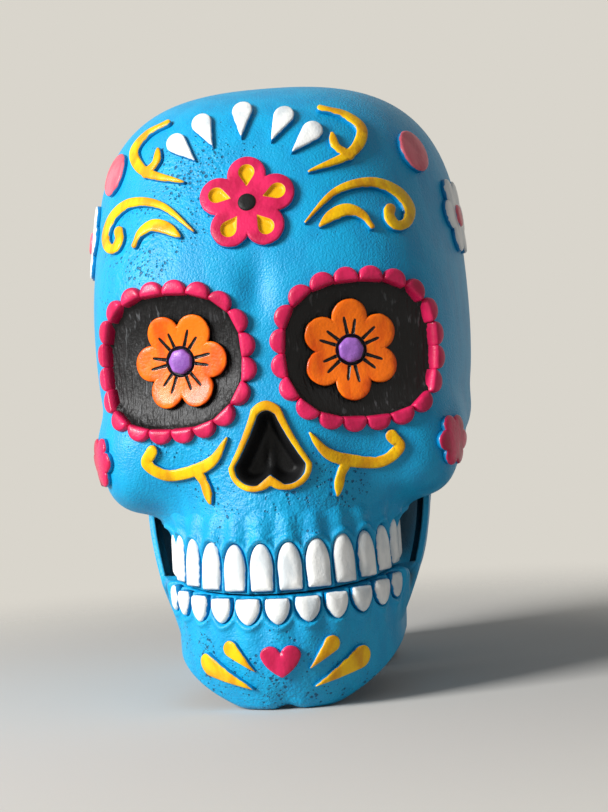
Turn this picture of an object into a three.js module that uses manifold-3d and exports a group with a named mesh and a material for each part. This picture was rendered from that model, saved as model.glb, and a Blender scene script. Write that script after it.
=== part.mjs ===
// Painted sugar skull: a hollow cast cranium on a flat base, a lower jaw that swings on two pins,
// set-in tooth rows, black eye and nose linings, and raised ornaments that lie on the cast skin.
import * as THREE from 'three';
import { mergeVertices } from 'three/addons/utils/BufferGeometryUtils.js';
import Module from 'manifold-3d';

const wasm = await Module();
wasm.setup();

// Driving dimensions in millimetres. The face looks along -Y, +Z is up, the skull stands on Z = 0.
const FIT_GAP = 0.35;
const DOME_HALF_WIDTH = 66;
const DOME_HALF_LENGTH = 76;
const DOME_HALF_HEIGHT = 74;
const DOME_CENTRE_Y = 9;
const DOME_CENTRE_Z = 137;
const DOME_SQUARENESS = 3.1;
const DOME_PLAN_SQUARENESS = 2.4;
const SHELL_WALL = 8;

const FACE_HALF_WIDTH = 60;
const FACE_HALF_DEPTH = 51;
const FACE_HALF_HEIGHT = 54;
const FACE_CENTRE_Y = -26;
const FACE_CENTRE_Z = 117;
const FACE_SQUARENESS = 3;
const FACE_BLEND = 16;

const CHEEK_HALF_WIDTH = 18;
const CHEEK_HALF_DEPTH = 25;
const CHEEK_HALF_HEIGHT = 18;
const CHEEK_CENTRE_X = 42;
const CHEEK_CENTRE_Y = -44;
const CHEEK_CENTRE_Z = 82;
const CHEEK_SQUARENESS = 2.5;
const CHEEK_BLEND = 10;
const MASTOID_HALF_WIDTH = 10.5;
const MASTOID_HALF_DEPTH = 17;
const MASTOID_HALF_HEIGHT = 40;
const MASTOID_CENTRE_X = 37;
const MASTOID_CENTRE_Y = 28;
const MASTOID_CENTRE_Z = 70;
const MASTOID_BLEND = 12;
const CHEEK_ARCH_RADIUS = 6;
const CHEEK_ARCH_FRONT_X = 53;
const CHEEK_ARCH_FRONT_Z = 87;
const CHEEK_ARCH_BACK_X = 56;
const CHEEK_ARCH_BACK_Y = 2;
const CHEEK_ARCH_BACK_Z = 92;

const ARCH_RADIUS = 36.5;
const ARCH_CENTRE_Y = -47.5;
const ARCH_BACK_Y = -14;
const ARCH_LEAN = 0.1;
const BITE_HEIGHT = 38;
const BITE_GAP = 1.6;
const BITE_SETBACK = 3;
const UPPER_JAW_TOP = 100;
const UPPER_JAW_ROUNDING = 3;
const UPPER_JAW_BLEND = 12;

const BASE_HALF_WIDTH = 31;
const BASE_HALF_LENGTH = 41;
const BASE_CENTRE_Y = 37;
const BASE_BLEND = 26;
const BASE_TOP_EDGE = 40;
const BASE_HOLE_RADIUS = 20;
const BASE_HOLE_TOP = 120;
const FELT_THICKNESS = 2;
const FELT_INSET = 3;

const RAMUS_SLOT_INNER = 34;
const RAMUS_SLOT_OUTER = 54;
const RAMUS_SLOT_FRONT = -36;
const RAMUS_SLOT_BACK = 10;
const RAMUS_SLOT_TOP = 99;
const RAMUS_SLOT_ROUNDING = 5;
const RAMUS_SLOT_EDGE = 3;
const JAW_SWING_INNER = 27;
const JAW_SWING_FRONT = -30;
const JAW_SWING_TOP = 44;

const JAW_WALL = 8;
const RAMUS_WALL = 4;
const RAMUS_FRONT_Y = -42.5;
const RAMUS_FLARE = 14;
const RAMUS_SPREAD = 11.5;
const RAMUS_SPREAD_TOP = 70;
const LOWER_GUM_STEP = 1;
const JAW_CORNER_HEIGHT = 16;
const JAW_CORNER_RADIUS = 12;
const RAMUS_TOP_RADIUS = 9.5;
const RAMUS_FOOT_Z = 24;
const CHIN_HALF_WIDTH = 23;
const CHIN_HALF_HEIGHT = 16;
const CHIN_CENTRE_Z = 13;
const CHIN_SWELL = 2.5;
const CHIN_FLAT = 18;
const CHIN_ROUNDING = 9;
const CHIN_ROUNDING_TOP = 30;

const HINGE_Y = -19;
const HINGE_Z = 85;
const PIN_RADIUS = 2.5;
const PIN_INNER_END = 30;
const PIN_OUTER_END = 60;

const EYE_CENTRE_X = 32;
const EYE_CENTRE_Z = 114.5;
const EYE_TURN = 15;
const EYE_HALF_WIDTH = 25.5;
const EYE_HALF_HEIGHT = 22.5;
const EYE_SQUARENESS = 2.5;
const EYE_RIM_DEPTH = 4;
const EYE_DISH_DEPTH = 9;
const EYE_LINING = 2;
const EYE_RING_WIDTH = 1.4;
const EYE_SCALLOPS = 20;
const EYE_SCALLOP_REACH = 2.2;
const EYE_FLOWER_REACH = 16.5;
const EYE_FLOWER_SHIFT = 3;
const EYE_PETALS = 6;
const EYE_BEAD_RADIUS = 4;
const EYE_BEAD_HEIGHT = 3;

const NOSE_CENTRE_Z = 79;
const NOSE_LOBE_RADIUS = 6;
const NOSE_LOBE_OFFSET = 5;
const NOSE_HEIGHT = 22;
const NOSE_TOP_HALF_WIDTH = 2.5;
const NOSE_DEPTH = 9;
const NOSE_LINING = 2;
const NOSE_RIM_WIDTH = 2.2;

const RELIEF = 1.8;
const STROKE_HALF_WIDTH = 1.9;
const STROKE_END = 1.1;
const PRONG_HALF_WIDTH = 1.52;
const CRESCENT_HALF_WIDTH = 2.185;
const CRESCENT_END = 0.6;
const FOREHEAD_LEAN = 0.055;
const FLOWER_CENTRE_Z = 164;
const FLOWER_PETAL_RADIUS = 6.5;
const FLOWER_PETAL_OFFSET = 9.6;
const FLOWER_PETALS = 5;
const FLOWER_BOSS_RADIUS = 3;
const FLOWER_BOSS_HEIGHT = 1;
const CROWN_DROP_LENGTH = 13.5;
const CROWN_DROP_WIDTH = 7;
const CROWN_DROP_REACH = 29.5;
const CROWN_DROP_ANGLES = [-44, -25, 0, 25, 44];
const TEMPLE_DISC_RADIUS = 7.2;
const TEMPLE_DISC_AZIMUTH = 48;
const TEMPLE_DISC_Z = 181;
const TEMPLE_FLOWER_PETAL_RADIUS = 5;
const TEMPLE_FLOWER_PETAL_OFFSET = 9;
const TEMPLE_FLOWER_PETALS = 6;
const TEMPLE_CENTRE_RADIUS = 4;
const TEMPLE_FLOWER_AZIMUTH = 68;
const TEMPLE_FLOWER_Z = 160;
const CHEEK_ROSETTE_PETAL_RADIUS = 3.4;
const CHEEK_ROSETTE_PETAL_OFFSET = 5.2;
const CHEEK_ROSETTE_PETALS = 6;
const CHEEK_ROSETTE_AZIMUTH = 41;
const CHEEK_ROSETTE_Z = 83;
const CHIN_HEART_WIDTH = 12.6;
const CHIN_HEART_HEIGHT = 10.2;
const CHIN_HEART_Z = 17;
const CHIN_DROP_INNER = { x: 13.3, z: 18.6, length: 13.5, width: 4.6, fan: 46 };
const CHIN_DROP_OUTER = { x: 19.3, z: 13, length: 20.5, width: 5.8, fan: 62 };
const TOOTH_THICKNESS = 2.6;
const TOOTH_BAND = 1.2;
const TOOTH_LIFT = 0.4;
const BACK_STEP = 0.25;
const CUT_OVERRUN = 8;
const SOCKET_OVERRUN = 14;
const FAR = 400;
const SEAT_SINK = 0.8;
const UPPER_TOOTH_PITCH = 9.2;
const UPPER_TOOTH_WIDTH = 8.2;
const UPPER_TOOTH_HEIGHT = 15;
const UPPER_TEETH = 14;
const LOWER_TOOTH_PITCH = 9.5;
const LOWER_TOOTH_WIDTH = 8.4;
const LOWER_TOOTH_HEIGHT = 7.8;
const LOWER_TEETH = 11;

const SHELL_CELL = 10;
const SOCKET_EDGE = 10;
const PIECE_EDGE = 12;
const PLATE_EDGE = 9;
const BEAD_EDGE = 3;
const BLUE = 0x1a96dc;
const PINK = 0xdc2a5c;
const YELLOW = 0xf0be08;
const ORANGE = 0xff7810;
const PURPLE = 0xa56ec3;
const WHITE = 0xf0f0eb;
const BLACK = 0x0f0f0f;
const CORAL = 0xee7d84;
const STEEL = 0xb8bcc0;
const FELT = 0x3a3a3e;

const HEAD_CELL_MARGIN = 2 * SHELL_CELL + FACE_BLEND / 4;

// Smooth unions of simple forms give the cast skins as signed distances.
function smoothMin(a, b, radius) {
  const h = THREE.MathUtils.clamp(0.5 + (0.5 * (b - a)) / radius, 0, 1);
  return b + (a - b) * h - radius * h * (1 - h);
}

function smoothMax(a, b, radius) {
  return -smoothMin(-a, -b, radius);
}

function superellipsoid(x, y, z, halves, power) {
  const u = Math.abs(x) / halves[0];
  const v = Math.abs(y) / halves[1];
  const w = Math.abs(z) / halves[2];
  const sum = u ** power + v ** power + w ** power + 1e-9;
  const slope = Math.hypot(
    u ** (power - 1) / halves[0],
    v ** (power - 1) / halves[1],
    w ** (power - 1) / halves[2],
  );
  return (sum ** (1 / power) - 1) / (slope * sum ** (1 / power - 1) + 1e-6);
}

function capsule(p, a, b, radius) {
  const line = new THREE.Line3(a, b);
  const near = line.closestPointToPoint(p, true, new THREE.Vector3());
  return near.distanceTo(p) - radius;
}

function roundedPrism(planDistance, heightDistance, radius) {
  const a = planDistance + radius;
  const b = heightDistance + radius;
  return Math.min(Math.max(a, b), 0) + Math.hypot(Math.max(a, 0), Math.max(b, 0)) - radius;
}

// The dome's size share at a point, 1 on its skin: rounder in plan than in elevation.
function domeShare(u, v, w) {
  const plan = (u ** DOME_PLAN_SQUARENESS + v ** DOME_PLAN_SQUARENESS) ** (1 / DOME_PLAN_SQUARENESS);
  return (plan ** DOME_SQUARENESS + w ** DOME_SQUARENESS) ** (1 / DOME_SQUARENESS);
}

function domeField(x, y, z) {
  const halves = [DOME_HALF_WIDTH, DOME_HALF_LENGTH, DOME_HALF_HEIGHT];
  const at = [x, y - DOME_CENTRE_Y, z - DOME_CENTRE_Z].map((c, i) => Math.abs(c) / halves[i] + 1e-4);
  const step = 1e-3;
  const share = domeShare(...at);
  const slope = halves.map((half, i) => {
    const moved = at.map((c, j) => c + (i === j ? step : 0));
    return (domeShare(...moved) - share) / (step * half);
  });
  return (share - 1) / Math.hypot(...slope);
}

const CHEEK_ARCH_FRONT = new THREE.Vector3(CHEEK_ARCH_FRONT_X, CHEEK_CENTRE_Y, CHEEK_ARCH_FRONT_Z);
const CHEEK_ARCH_BACK = new THREE.Vector3(CHEEK_ARCH_BACK_X, CHEEK_ARCH_BACK_Y, CHEEK_ARCH_BACK_Z);
const UPPER_JAW_FOOT = BITE_HEIGHT + BITE_GAP / 2;
const FELT_TOP = FELT_THICKNESS + FIT_GAP;

function craniumField(x, y, z) {
  const side = Math.abs(x);
  let d = domeField(x, y, z);
  const faceHalves = [FACE_HALF_WIDTH, FACE_HALF_DEPTH, FACE_HALF_HEIGHT];
  const face = superellipsoid(x, y - FACE_CENTRE_Y, z - FACE_CENTRE_Z, faceHalves, FACE_SQUARENESS);
  d = smoothMin(d, face, FACE_BLEND);
  const cheekHalves = [CHEEK_HALF_WIDTH, CHEEK_HALF_DEPTH, CHEEK_HALF_HEIGHT];
  const cheek = superellipsoid(
    side - CHEEK_CENTRE_X, y - CHEEK_CENTRE_Y, z - CHEEK_CENTRE_Z, cheekHalves, CHEEK_SQUARENESS);
  d = smoothMin(d, cheek, CHEEK_BLEND);
  const p = new THREE.Vector3(side, y, z);
  d = smoothMin(d, capsule(p, CHEEK_ARCH_FRONT, CHEEK_ARCH_BACK, CHEEK_ARCH_RADIUS), CHEEK_BLEND);
  const archCentre = ARCH_CENTRE_Y + ARCH_LEAN * (z - BITE_HEIGHT);
  const archY = y - THREE.MathUtils.clamp(y, archCentre, ARCH_BACK_Y);
  const middle = (UPPER_JAW_FOOT - CUT_OVERRUN + UPPER_JAW_TOP) / 2;
  const upperJaw = roundedPrism(
    Math.hypot(x, archY) - ARCH_RADIUS, Math.abs(z - middle) - (UPPER_JAW_TOP - middle), UPPER_JAW_ROUNDING);
  d = smoothMin(d, upperJaw, UPPER_JAW_BLEND);
  const basePlan = Math.hypot(x / BASE_HALF_WIDTH, (y - BASE_CENTRE_Y) / BASE_HALF_LENGTH) - 1;
  const base = smoothMax(basePlan * BASE_HALF_WIDTH, z - DOME_CENTRE_Z, BASE_TOP_EDGE);
  d = smoothMin(d, base, BASE_BLEND);
  const mastoidHalves = [MASTOID_HALF_WIDTH, MASTOID_HALF_DEPTH, MASTOID_HALF_HEIGHT];
  const mastoid = superellipsoid(
    side - MASTOID_CENTRE_X, y - MASTOID_CENTRE_Y, z - MASTOID_CENTRE_Z, mastoidHalves, 2);
  d = smoothMin(d, mastoid, MASTOID_BLEND);
  const slotMiddle = (RAMUS_SLOT_INNER + RAMUS_SLOT_OUTER) / 2;
  const slotCentre = (RAMUS_SLOT_FRONT + RAMUS_SLOT_BACK) / 2;
  const slotPlan = Math.max(
    Math.abs(side - slotMiddle) - (RAMUS_SLOT_OUTER - slotMiddle),
    Math.abs(y - slotCentre) - (RAMUS_SLOT_BACK - slotCentre));
  return smoothMax(d, -roundedPrism(slotPlan, z - RAMUS_SLOT_TOP, RAMUS_SLOT_ROUNDING), RAMUS_SLOT_EDGE);
}

function normalAt(field, p) {
  const e = 0.2;
  return new THREE.Vector3(
    field(p.x + e, p.y, p.z) - field(p.x - e, p.y, p.z),
    field(p.x, p.y + e, p.z) - field(p.x, p.y - e, p.z),
    field(p.x, p.y, p.z + e) - field(p.x, p.y, p.z - e),
  ).normalize();
}

// A closed skin of even cells over a field: one point in each crossed cell, one face on each crossed edge.
function skinGeometry(field, box, cell) {
  const size = box.getSize(new THREE.Vector3());
  const n = [size.x, size.y, size.z].map((length) => Math.ceil(length / cell) + 1);
  const at = (i, j, k) => new THREE.Vector3(i, j, k).multiplyScalar(cell).add(box.min);
  const index = (i, j, k) => i + n[0] * (j + n[1] * k);
  const values = new Float64Array(n[0] * n[1] * n[2]);
  for (let k = 0; k < n[2]; k++)
    for (let j = 0; j < n[1]; j++)
      for (let i = 0; i < n[0]; i++) {
        const p = at(i, j, k);
        values[index(i, j, k)] = field(p.x, p.y, p.z);
      }
  const corners = [0, 1, 2, 3, 4, 5, 6, 7].map((c) => [c & 1, (c >> 1) & 1, c >> 2]);
  const cellPoint = new Map();
  const positions = [];
  const pointOfCell = (i, j, k) => {
    const key = index(i, j, k);
    if (cellPoint.has(key)) return cellPoint.get(key);
    const sum = new THREE.Vector3();
    let crossings = 0;
    for (let a = 0; a < 8; a++)
      for (let axis = 0; axis < 3; axis++) {
        const b = a | (1 << axis);
        if (b === a) continue;
        const va = values[index(i + corners[a][0], j + corners[a][1], k + corners[a][2])];
        const vb = values[index(i + corners[b][0], j + corners[b][1], k + corners[b][2])];
        if (va < 0 === vb < 0) continue;
        const pa = at(i + corners[a][0], j + corners[a][1], k + corners[a][2]);
        const pb = at(i + corners[b][0], j + corners[b][1], k + corners[b][2]);
        sum.add(pa.lerp(pb, va / (va - vb)));
        crossings++;
      }
    const p = sum.divideScalar(crossings);
    for (let step = 0; step < 3; step++) {
      const move = THREE.MathUtils.clamp(field(p.x, p.y, p.z), -cell / 3, cell / 3);
      p.addScaledVector(normalAt(field, p), -move);
    }
    p.clamp(at(i + 0.1, j + 0.1, k + 0.1), at(i + 0.9, j + 0.9, k + 0.9));
    positions.push(p.x, p.y, p.z);
    cellPoint.set(key, positions.length / 3 - 1);
    return positions.length / 3 - 1;
  };
  const faces = [];
  for (let k = 1; k < n[2] - 1; k++)
    for (let j = 1; j < n[1] - 1; j++)
      for (let i = 1; i < n[0] - 1; i++) {
        const inside = values[index(i, j, k)] < 0;
        for (let axis = 0; axis < 3; axis++) {
          const step = [0, 1, 2].map((c) => (c === axis ? 1 : 0));
          if (inside === values[index(i + step[0], j + step[1], k + step[2])] < 0) continue;
          const u = [0, 1, 2].map((c) => (c === (axis + 1) % 3 ? 1 : 0));
          const v = [0, 1, 2].map((c) => (c === (axis + 2) % 3 ? 1 : 0));
          const quad = [
            pointOfCell(i - u[0] - v[0], j - u[1] - v[1], k - u[2] - v[2]),
            pointOfCell(i - v[0], j - v[1], k - v[2]),
            pointOfCell(i, j, k),
            pointOfCell(i - u[0], j - u[1], k - u[2]),
          ];
          if (!inside) quad.reverse();
          faces.push(quad[0], quad[1], quad[2], quad[0], quad[2], quad[3]);
        }
      }
  const geometry = new THREE.BufferGeometry();
  geometry.setAttribute('position', new THREE.Float32BufferAttribute(positions, 3));
  geometry.setIndex(faces);
  return geometry;
}

// Solids for joining and cutting.
function toSolid(geometry) {
  const bare = geometry.clone();
  bare.deleteAttribute('normal');
  bare.deleteAttribute('uv');
  const merged = mergeVertices(bare, 1e-4);
  return new wasm.Manifold(new wasm.Mesh({
    numProp: 3,
    vertProperties: new Float32Array(merged.attributes.position.array),
    triVerts: new Uint32Array(merged.index.array),
  }));
}

function toGeometry(solid) {
  const mesh = solid.getMesh();
  const geometry = new THREE.BufferGeometry();
  geometry.setAttribute('position', new THREE.BufferAttribute(new Float32Array(mesh.vertProperties), 3));
  geometry.setIndex(new THREE.BufferAttribute(new Uint32Array(mesh.triVerts), 1));
  geometry.computeVertexNormals();
  return geometry;
}

function boxSolid(min, max) {
  const size = max.clone().sub(min);
  const geometry = new THREE.BoxGeometry(size.x, size.y, size.z);
  geometry.translate((min.x + max.x) / 2, (min.y + max.y) / 2, (min.z + max.z) / 2);
  return toSolid(geometry);
}

function crossBar(radius, from, to, y, z) {
  const geometry = new THREE.CylinderGeometry(radius, radius, to - from, 24);
  geometry.rotateZ(Math.PI / 2);
  geometry.translate((from + to) / 2, y, z);
  return geometry;
}

function upright(radius, from, to, y) {
  const geometry = new THREE.CylinderGeometry(radius, radius, to - from, 40);
  geometry.rotateX(Math.PI / 2);
  geometry.translate(0, y, (from + to) / 2);
  return geometry;
}

// Drawing planes: an outline's (a, b) point runs along a ray into the skin and lands on it.
function firstHit(field, from, direction, reach) {
  const step = 1;
  let before = 0;
  for (let t = step; t <= reach; t += step) {
    const p = from.clone().addScaledVector(direction, t);
    if (field(p.x, p.y, p.z) < 0) {
      let after = t;
      for (let pass = 0; pass < 24; pass++) {
        const half = (before + after) / 2;
        const q = from.clone().addScaledVector(direction, half);
        if (field(q.x, q.y, q.z) < 0) after = half;
        else before = half;
      }
      return from.clone().addScaledVector(direction, (before + after) / 2);
    }
    before = t;
  }
  throw new Error(`outline leaves the skin at ${from.toArray().map(Math.round)}`);
}

// A flat drawing plane that faces the skin at an azimuth, with its origin at a point of the skin.
function plane(field, azimuthDegrees, across, height) {
  const azimuth = THREE.MathUtils.degToRad(azimuthDegrees);
  const right = new THREE.Vector3(Math.cos(azimuth), Math.sin(azimuth), 0);
  const inward = new THREE.Vector3(-Math.sin(azimuth), Math.cos(azimuth), 0);
  const standOff = 150;
  const land = (a, b) => {
    const from = new THREE.Vector3(0, DOME_CENTRE_Y, height + b);
    from.addScaledVector(right, across + a).addScaledVector(inward, -standOff);
    return firstHit(field, from, inward, 2 * standOff);
  };
  return { field, land, outward: () => inward.clone().negate() };
}

// A drawing band that wraps round the tooth arch: a runs along the arch, b is the height.
function archBand(field, radius) {
  const direction = (a) => new THREE.Vector3(-Math.sin(a / radius), Math.cos(a / radius), 0);
  const land = (a, b) => {
    const inward = direction(a);
    const from = new THREE.Vector3(0, ARCH_CENTRE_Y, b).addScaledVector(inward, -radius * 2);
    return firstHit(field, from, inward, radius * 2);
  };
  return { field, land, outward: (a) => direction(a).negate() };
}

// The lower jaw's outer face, unrolled: a runs round the horseshoe from the chin, b is the height.
const QUARTER_ARC = (Math.PI / 2) * (ARCH_RADIUS + LOWER_GUM_STEP);
const alongLeg = (y) => QUARTER_ARC + y - ARCH_CENTRE_Y;

function jawSheet() {
  const radius = ARCH_RADIUS + LOWER_GUM_STEP;
  const outward = (a) => {
    const turn = THREE.MathUtils.clamp(a / radius, -Math.PI / 2, Math.PI / 2);
    return new THREE.Vector3(Math.sin(turn), -Math.cos(turn), 0);
  };
  const land = (a, b) => {
    const low = THREE.MathUtils.clamp(1 - b / CHIN_ROUNDING_TOP, 0, 1);
    const fade = 1 - THREE.MathUtils.smoothstep(Math.abs(a), CHIN_HALF_WIDTH, QUARTER_ARC);
    const round = CHIN_ROUNDING * low * low * fade;
    const rise = THREE.MathUtils.clamp((b - RAMUS_FOOT_Z) / (RAMUS_SPREAD_TOP - RAMUS_FOOT_Z), 0, 1);
    const side = THREE.MathUtils.smoothstep(Math.abs(a), QUARTER_ARC - RAMUS_FLARE, alongLeg(RAMUS_FRONT_Y));
    const chin = Math.exp(-((a / CHIN_HALF_WIDTH) ** 2) - ((b - CHIN_CENTRE_Z) / CHIN_HALF_HEIGHT) ** 2);
    const leg = Math.sign(a) * Math.max(Math.abs(a) - QUARTER_ARC, 0);
    const swell = RAMUS_SPREAD * (1 - (1 - rise) ** 2) * side + CHIN_SWELL * chin - round;
    return new THREE.Vector3(0, ARCH_CENTRE_Y + Math.abs(leg), b).addScaledVector(outward(a), radius + swell);
  };
  return { land, outward };
}

// Splits every edge longer than the limit, keeping neighbours matched.
function refine(points, triangles, limit) {
  let faces = triangles;
  for (;;) {
    const middle = new Map();
    const split = (i, j) => {
      if (points[i].distanceTo(points[j]) <= limit) return -1;
      const key = i < j ? `${i}_${j}` : `${j}_${i}`;
      if (!middle.has(key)) {
        points.push(points[i].clone().lerp(points[j], 0.5));
        middle.set(key, points.length - 1);
      }
      return middle.get(key);
    };
    const next = [];
    for (const face of faces) {
      let [a, b, c] = face;
      let mids = [split(a, b), split(b, c), split(c, a)];
      const count = mids.filter((m) => m >= 0).length;
      while (count > 0 && count < 3 && (mids[0] < 0 || (count === 2 && mids[1] < 0))) {
        [a, b, c] = [b, c, a];
        mids = [mids[1], mids[2], mids[0]];
      }
      const [ab, bc, ca] = mids;
      if (count === 0) next.push([a, b, c]);
      else if (count === 1) next.push([a, ab, c], [ab, b, c]);
      else if (count === 2) next.push([a, ab, c], [ab, b, bc], [ab, bc, c]);
      else next.push([a, ab, ca], [ab, b, bc], [ca, bc, c], [ab, bc, ca]);
    }
    faces = next;
    if (middle.size === 0) return faces;
  }
}

// A closed plate over a surface between two lifts. Lifts run along the skin's normal, or along the surface's
// outward direction when the plate is straight; each lift is a length or a function of (a, b).
function prism(surface, points, faces, lower, upper, straight) {
  const liftOf = (lift, p) => (typeof lift === 'function' ? lift(p.x, p.y) : lift);
  const coordinates = [];
  const layers = [lower, upper];
  for (const lift of layers)
    for (const p of points) {
      const hit = surface.land(p.x, p.y);
      const way = straight || !surface.field ? surface.outward(p.x) : normalAt(surface.field, hit);
      hit.addScaledVector(way, liftOf(lift, p));
      coordinates.push(hit.x, hit.y, hit.z);
    }
  const top = points.length;
  const indices = [];
  const once = new Map();
  for (const [a, b, c] of faces) {
    indices.push(c, b, a, a + top, b + top, c + top);
    for (const [i, j] of [[a, b], [b, c], [c, a]]) {
      if (!once.delete(`${j}_${i}`)) once.set(`${i}_${j}`, [i, j]);
    }
  }
  for (const [i, j] of once.values()) indices.push(i, j, j + top, i, j + top, i + top);
  const geometry = new THREE.BufferGeometry();
  geometry.setAttribute('position', new THREE.Float32BufferAttribute(coordinates, 3));
  geometry.setIndex(indices);
  return geometry;
}

// A plate with a drawn outline.
function plate(surface, shape, lower, upper, { edge = PLATE_EDGE, straight = false, segments = 4 } = {}) {
  const outline = shape.extractPoints(segments);
  const rings = [outline.shape, ...outline.holes].map((ring) => ring.filter(
    (p, i) => p.distanceTo(ring[(i + 1) % ring.length]) > 1e-3));
  rings.forEach((ring, i) => {
    if (THREE.ShapeUtils.isClockWise(ring) !== i > 0) ring.reverse();
  });
  const points = rings.flat().map((p) => p.clone());
  const triangles = THREE.ShapeUtils.triangulateShape(rings[0], rings.slice(1));
  const faces = refine(points, triangles, edge);
  return prism(surface, points, faces, lower, upper, straight);
}

// Outlines, drawn in millimetres.
function closedShape(points) {
  return new THREE.Shape(points);
}

function polarShape(count, radiusAt) {
  const points = [];
  for (let i = 0; i < count; i++) {
    const angle = (i / count) * 2 * Math.PI;
    const radius = radiusAt(angle);
    points.push(new THREE.Vector2(radius * Math.cos(angle), radius * Math.sin(angle)));
  }
  return closedShape(points);
}

function eyeRadius(angle, grow) {
  const u = Math.abs(Math.cos(angle)) / (EYE_HALF_WIDTH + grow);
  const v = Math.abs(Math.sin(angle)) / (EYE_HALF_HEIGHT + grow);
  return (u ** EYE_SQUARENESS + v ** EYE_SQUARENESS) ** (-1 / EYE_SQUARENESS);
}

// Round petals whose circles overlap in a ring.
function petalShape(petals, petalRadius, offset, turn = 0) {
  const step = (2 * Math.PI) / petals;
  const half = step / 2;
  const waist = offset * Math.cos(half) + Math.sqrt(petalRadius ** 2 - (offset * Math.sin(half)) ** 2);
  const spread = Math.atan2(waist * Math.sin(half), waist * Math.cos(half) - offset);
  const shape = new THREE.Shape();
  for (let i = 0; i < petals; i++) {
    const angle = turn + i * step;
    const x = offset * Math.cos(angle);
    const z = offset * Math.sin(angle);
    shape.absarc(x, z, petalRadius, angle - spread, angle + spread);
  }
  return shape;
}

// A drop with its round end outwards and its point towards the centre of the fan.
function dropShape(x, z, length, width, angle) {
  const radius = width / 2;
  const belly = length - radius;
  const along = new THREE.Vector2(Math.cos(angle), Math.sin(angle));
  const tip = new THREE.Vector2(x, z).addScaledVector(along, -length / 2);
  const centre = tip.clone().addScaledVector(along, belly);
  const spread = Math.PI - Math.acos(radius / belly);
  const shape = new THREE.Shape();
  shape.moveTo(tip.x, tip.y);
  shape.lineTo(centre.x + radius * Math.cos(angle - spread), centre.y + radius * Math.sin(angle - spread));
  shape.absarc(centre.x, centre.y, radius, angle - spread, angle + spread);
  return shape;
}

// A brush stroke along a smooth curve: full in the middle, thin at its tip, rounded at its end.
function strokeShape(points, halfWidth, endWidth) {
  const curve = new THREE.SplineCurve(points.map(([x, z]) => new THREE.Vector2(x, z)));
  const steps = 3 * (points.length - 1);
  const left = [];
  const right = [];
  for (let i = 0; i <= steps; i++) {
    const t = i / steps;
    const p = curve.getPoint(t);
    const tangent = curve.getTangent(t);
    const swell = Math.sin(Math.PI * Math.min(t / 0.9, 1) ** 0.8);
    const reach = 0.35 + (halfWidth - 0.35) * swell + endWidth * THREE.MathUtils.smoothstep(t, 0.5, 1);
    left.push(new THREE.Vector2(p.x - tangent.y * reach, p.y + tangent.x * reach));
    right.unshift(new THREE.Vector2(p.x + tangent.y * reach, p.y - tangent.x * reach));
  }
  return closedShape([...left, ...right]);
}

function heartShape(width, height, centreZ) {
  const lobe = width / 4;
  const top = centreZ + height / 2 - lobe;
  const shape = new THREE.Shape();
  shape.moveTo(0, centreZ - height / 2);
  shape.quadraticCurveTo(width * 0.42, top - height * 0.4, width / 2, top);
  shape.absarc(lobe, top, lobe, 0, Math.PI * 0.92);
  shape.absarc(-lobe, top, lobe, Math.PI * 0.08, Math.PI);
  shape.quadraticCurveTo(-width * 0.42, top - height * 0.4, 0, centreZ - height / 2);
  return shape;
}

// The nose opening: two round lobes below, drawn up to a narrow top.
function noseShape(grow) {
  const lobe = NOSE_LOBE_RADIUS + grow;
  const top = NOSE_HEIGHT - NOSE_LOBE_RADIUS + grow;
  const narrow = NOSE_TOP_HALF_WIDTH + grow;
  const notch = Math.acos(Math.min(NOSE_LOBE_OFFSET / lobe, 1));
  const shape = new THREE.Shape();
  shape.moveTo(narrow, top);
  shape.quadraticCurveTo(0, top + narrow, -narrow, top);
  shape.quadraticCurveTo(-lobe * 0.9, top * 0.55, -NOSE_LOBE_OFFSET - lobe, 0);
  shape.absarc(-NOSE_LOBE_OFFSET, 0, lobe, Math.PI, 2 * Math.PI - notch);
  shape.absarc(NOSE_LOBE_OFFSET, 0, lobe, Math.PI + notch, 2 * Math.PI);
  shape.quadraticCurveTo(lobe * 0.9, top * 0.55, narrow, top);
  return shape;
}

function toothShape(centre, base, width, height) {
  const half = width / 2;
  const sign = Math.sign(height);
  const shoulder = base + height - sign * half * 0.9;
  const points = [];
  for (let i = 0; i <= 4; i++) {
    const angle = (i / 4) * Math.PI;
    points.push(new THREE.Vector2(
      centre + half * Math.cos(angle), shoulder + sign * half * 0.9 * Math.sin(angle)));
  }
  points.push(new THREE.Vector2(centre - half, base), new THREE.Vector2(centre + half, base));
  return closedShape(points);
}

function bandShape(from, to, low, high) {
  const corners = [[from, low], [to, low], [to, high], [from, high]];
  return closedShape(corners.map(([a, b]) => new THREE.Vector2(a, b)));
}

// The assembly.
const skull = new THREE.Group();
const sides = [[-1, 'left'], [1, 'right']];

function addPiece(name, geometry, colour, roughness = 0.5, metalness = 0) {
  const material = new THREE.MeshStandardMaterial({ color: colour, roughness, metalness });
  const mesh = new THREE.Mesh(geometry, material);
  mesh.name = name;
  skull.add(mesh);
}

// The skins' boxes, and the same skins grown by the fit gap, on which the raised pieces are seated.
const reach = new THREE.Vector3(DOME_HALF_WIDTH, DOME_HALF_LENGTH, DOME_HALF_HEIGHT);
const skinBox = new THREE.Box3(
  new THREE.Vector3(-reach.x, DOME_CENTRE_Y - reach.y, 0).addScalar(-HEAD_CELL_MARGIN).setZ(-SHELL_CELL * 2),
  new THREE.Vector3(reach.x, DOME_CENTRE_Y + reach.y, DOME_CENTRE_Z + reach.z).addScalar(HEAD_CELL_MARGIN),
);
skinBox.min.y = Math.min(skinBox.min.y, ARCH_CENTRE_Y - ARCH_RADIUS - HEAD_CELL_MARGIN);
const footless = (x, y, z) => Math.max(craniumField(x, y, z), FELT_TOP - SHELL_CELL - z);
const grown = (field) => (x, y, z) => field(x, y, z) - FIT_GAP;
const craniumSkin = toSolid(skinGeometry(footless, skinBox, SHELL_CELL));
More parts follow.
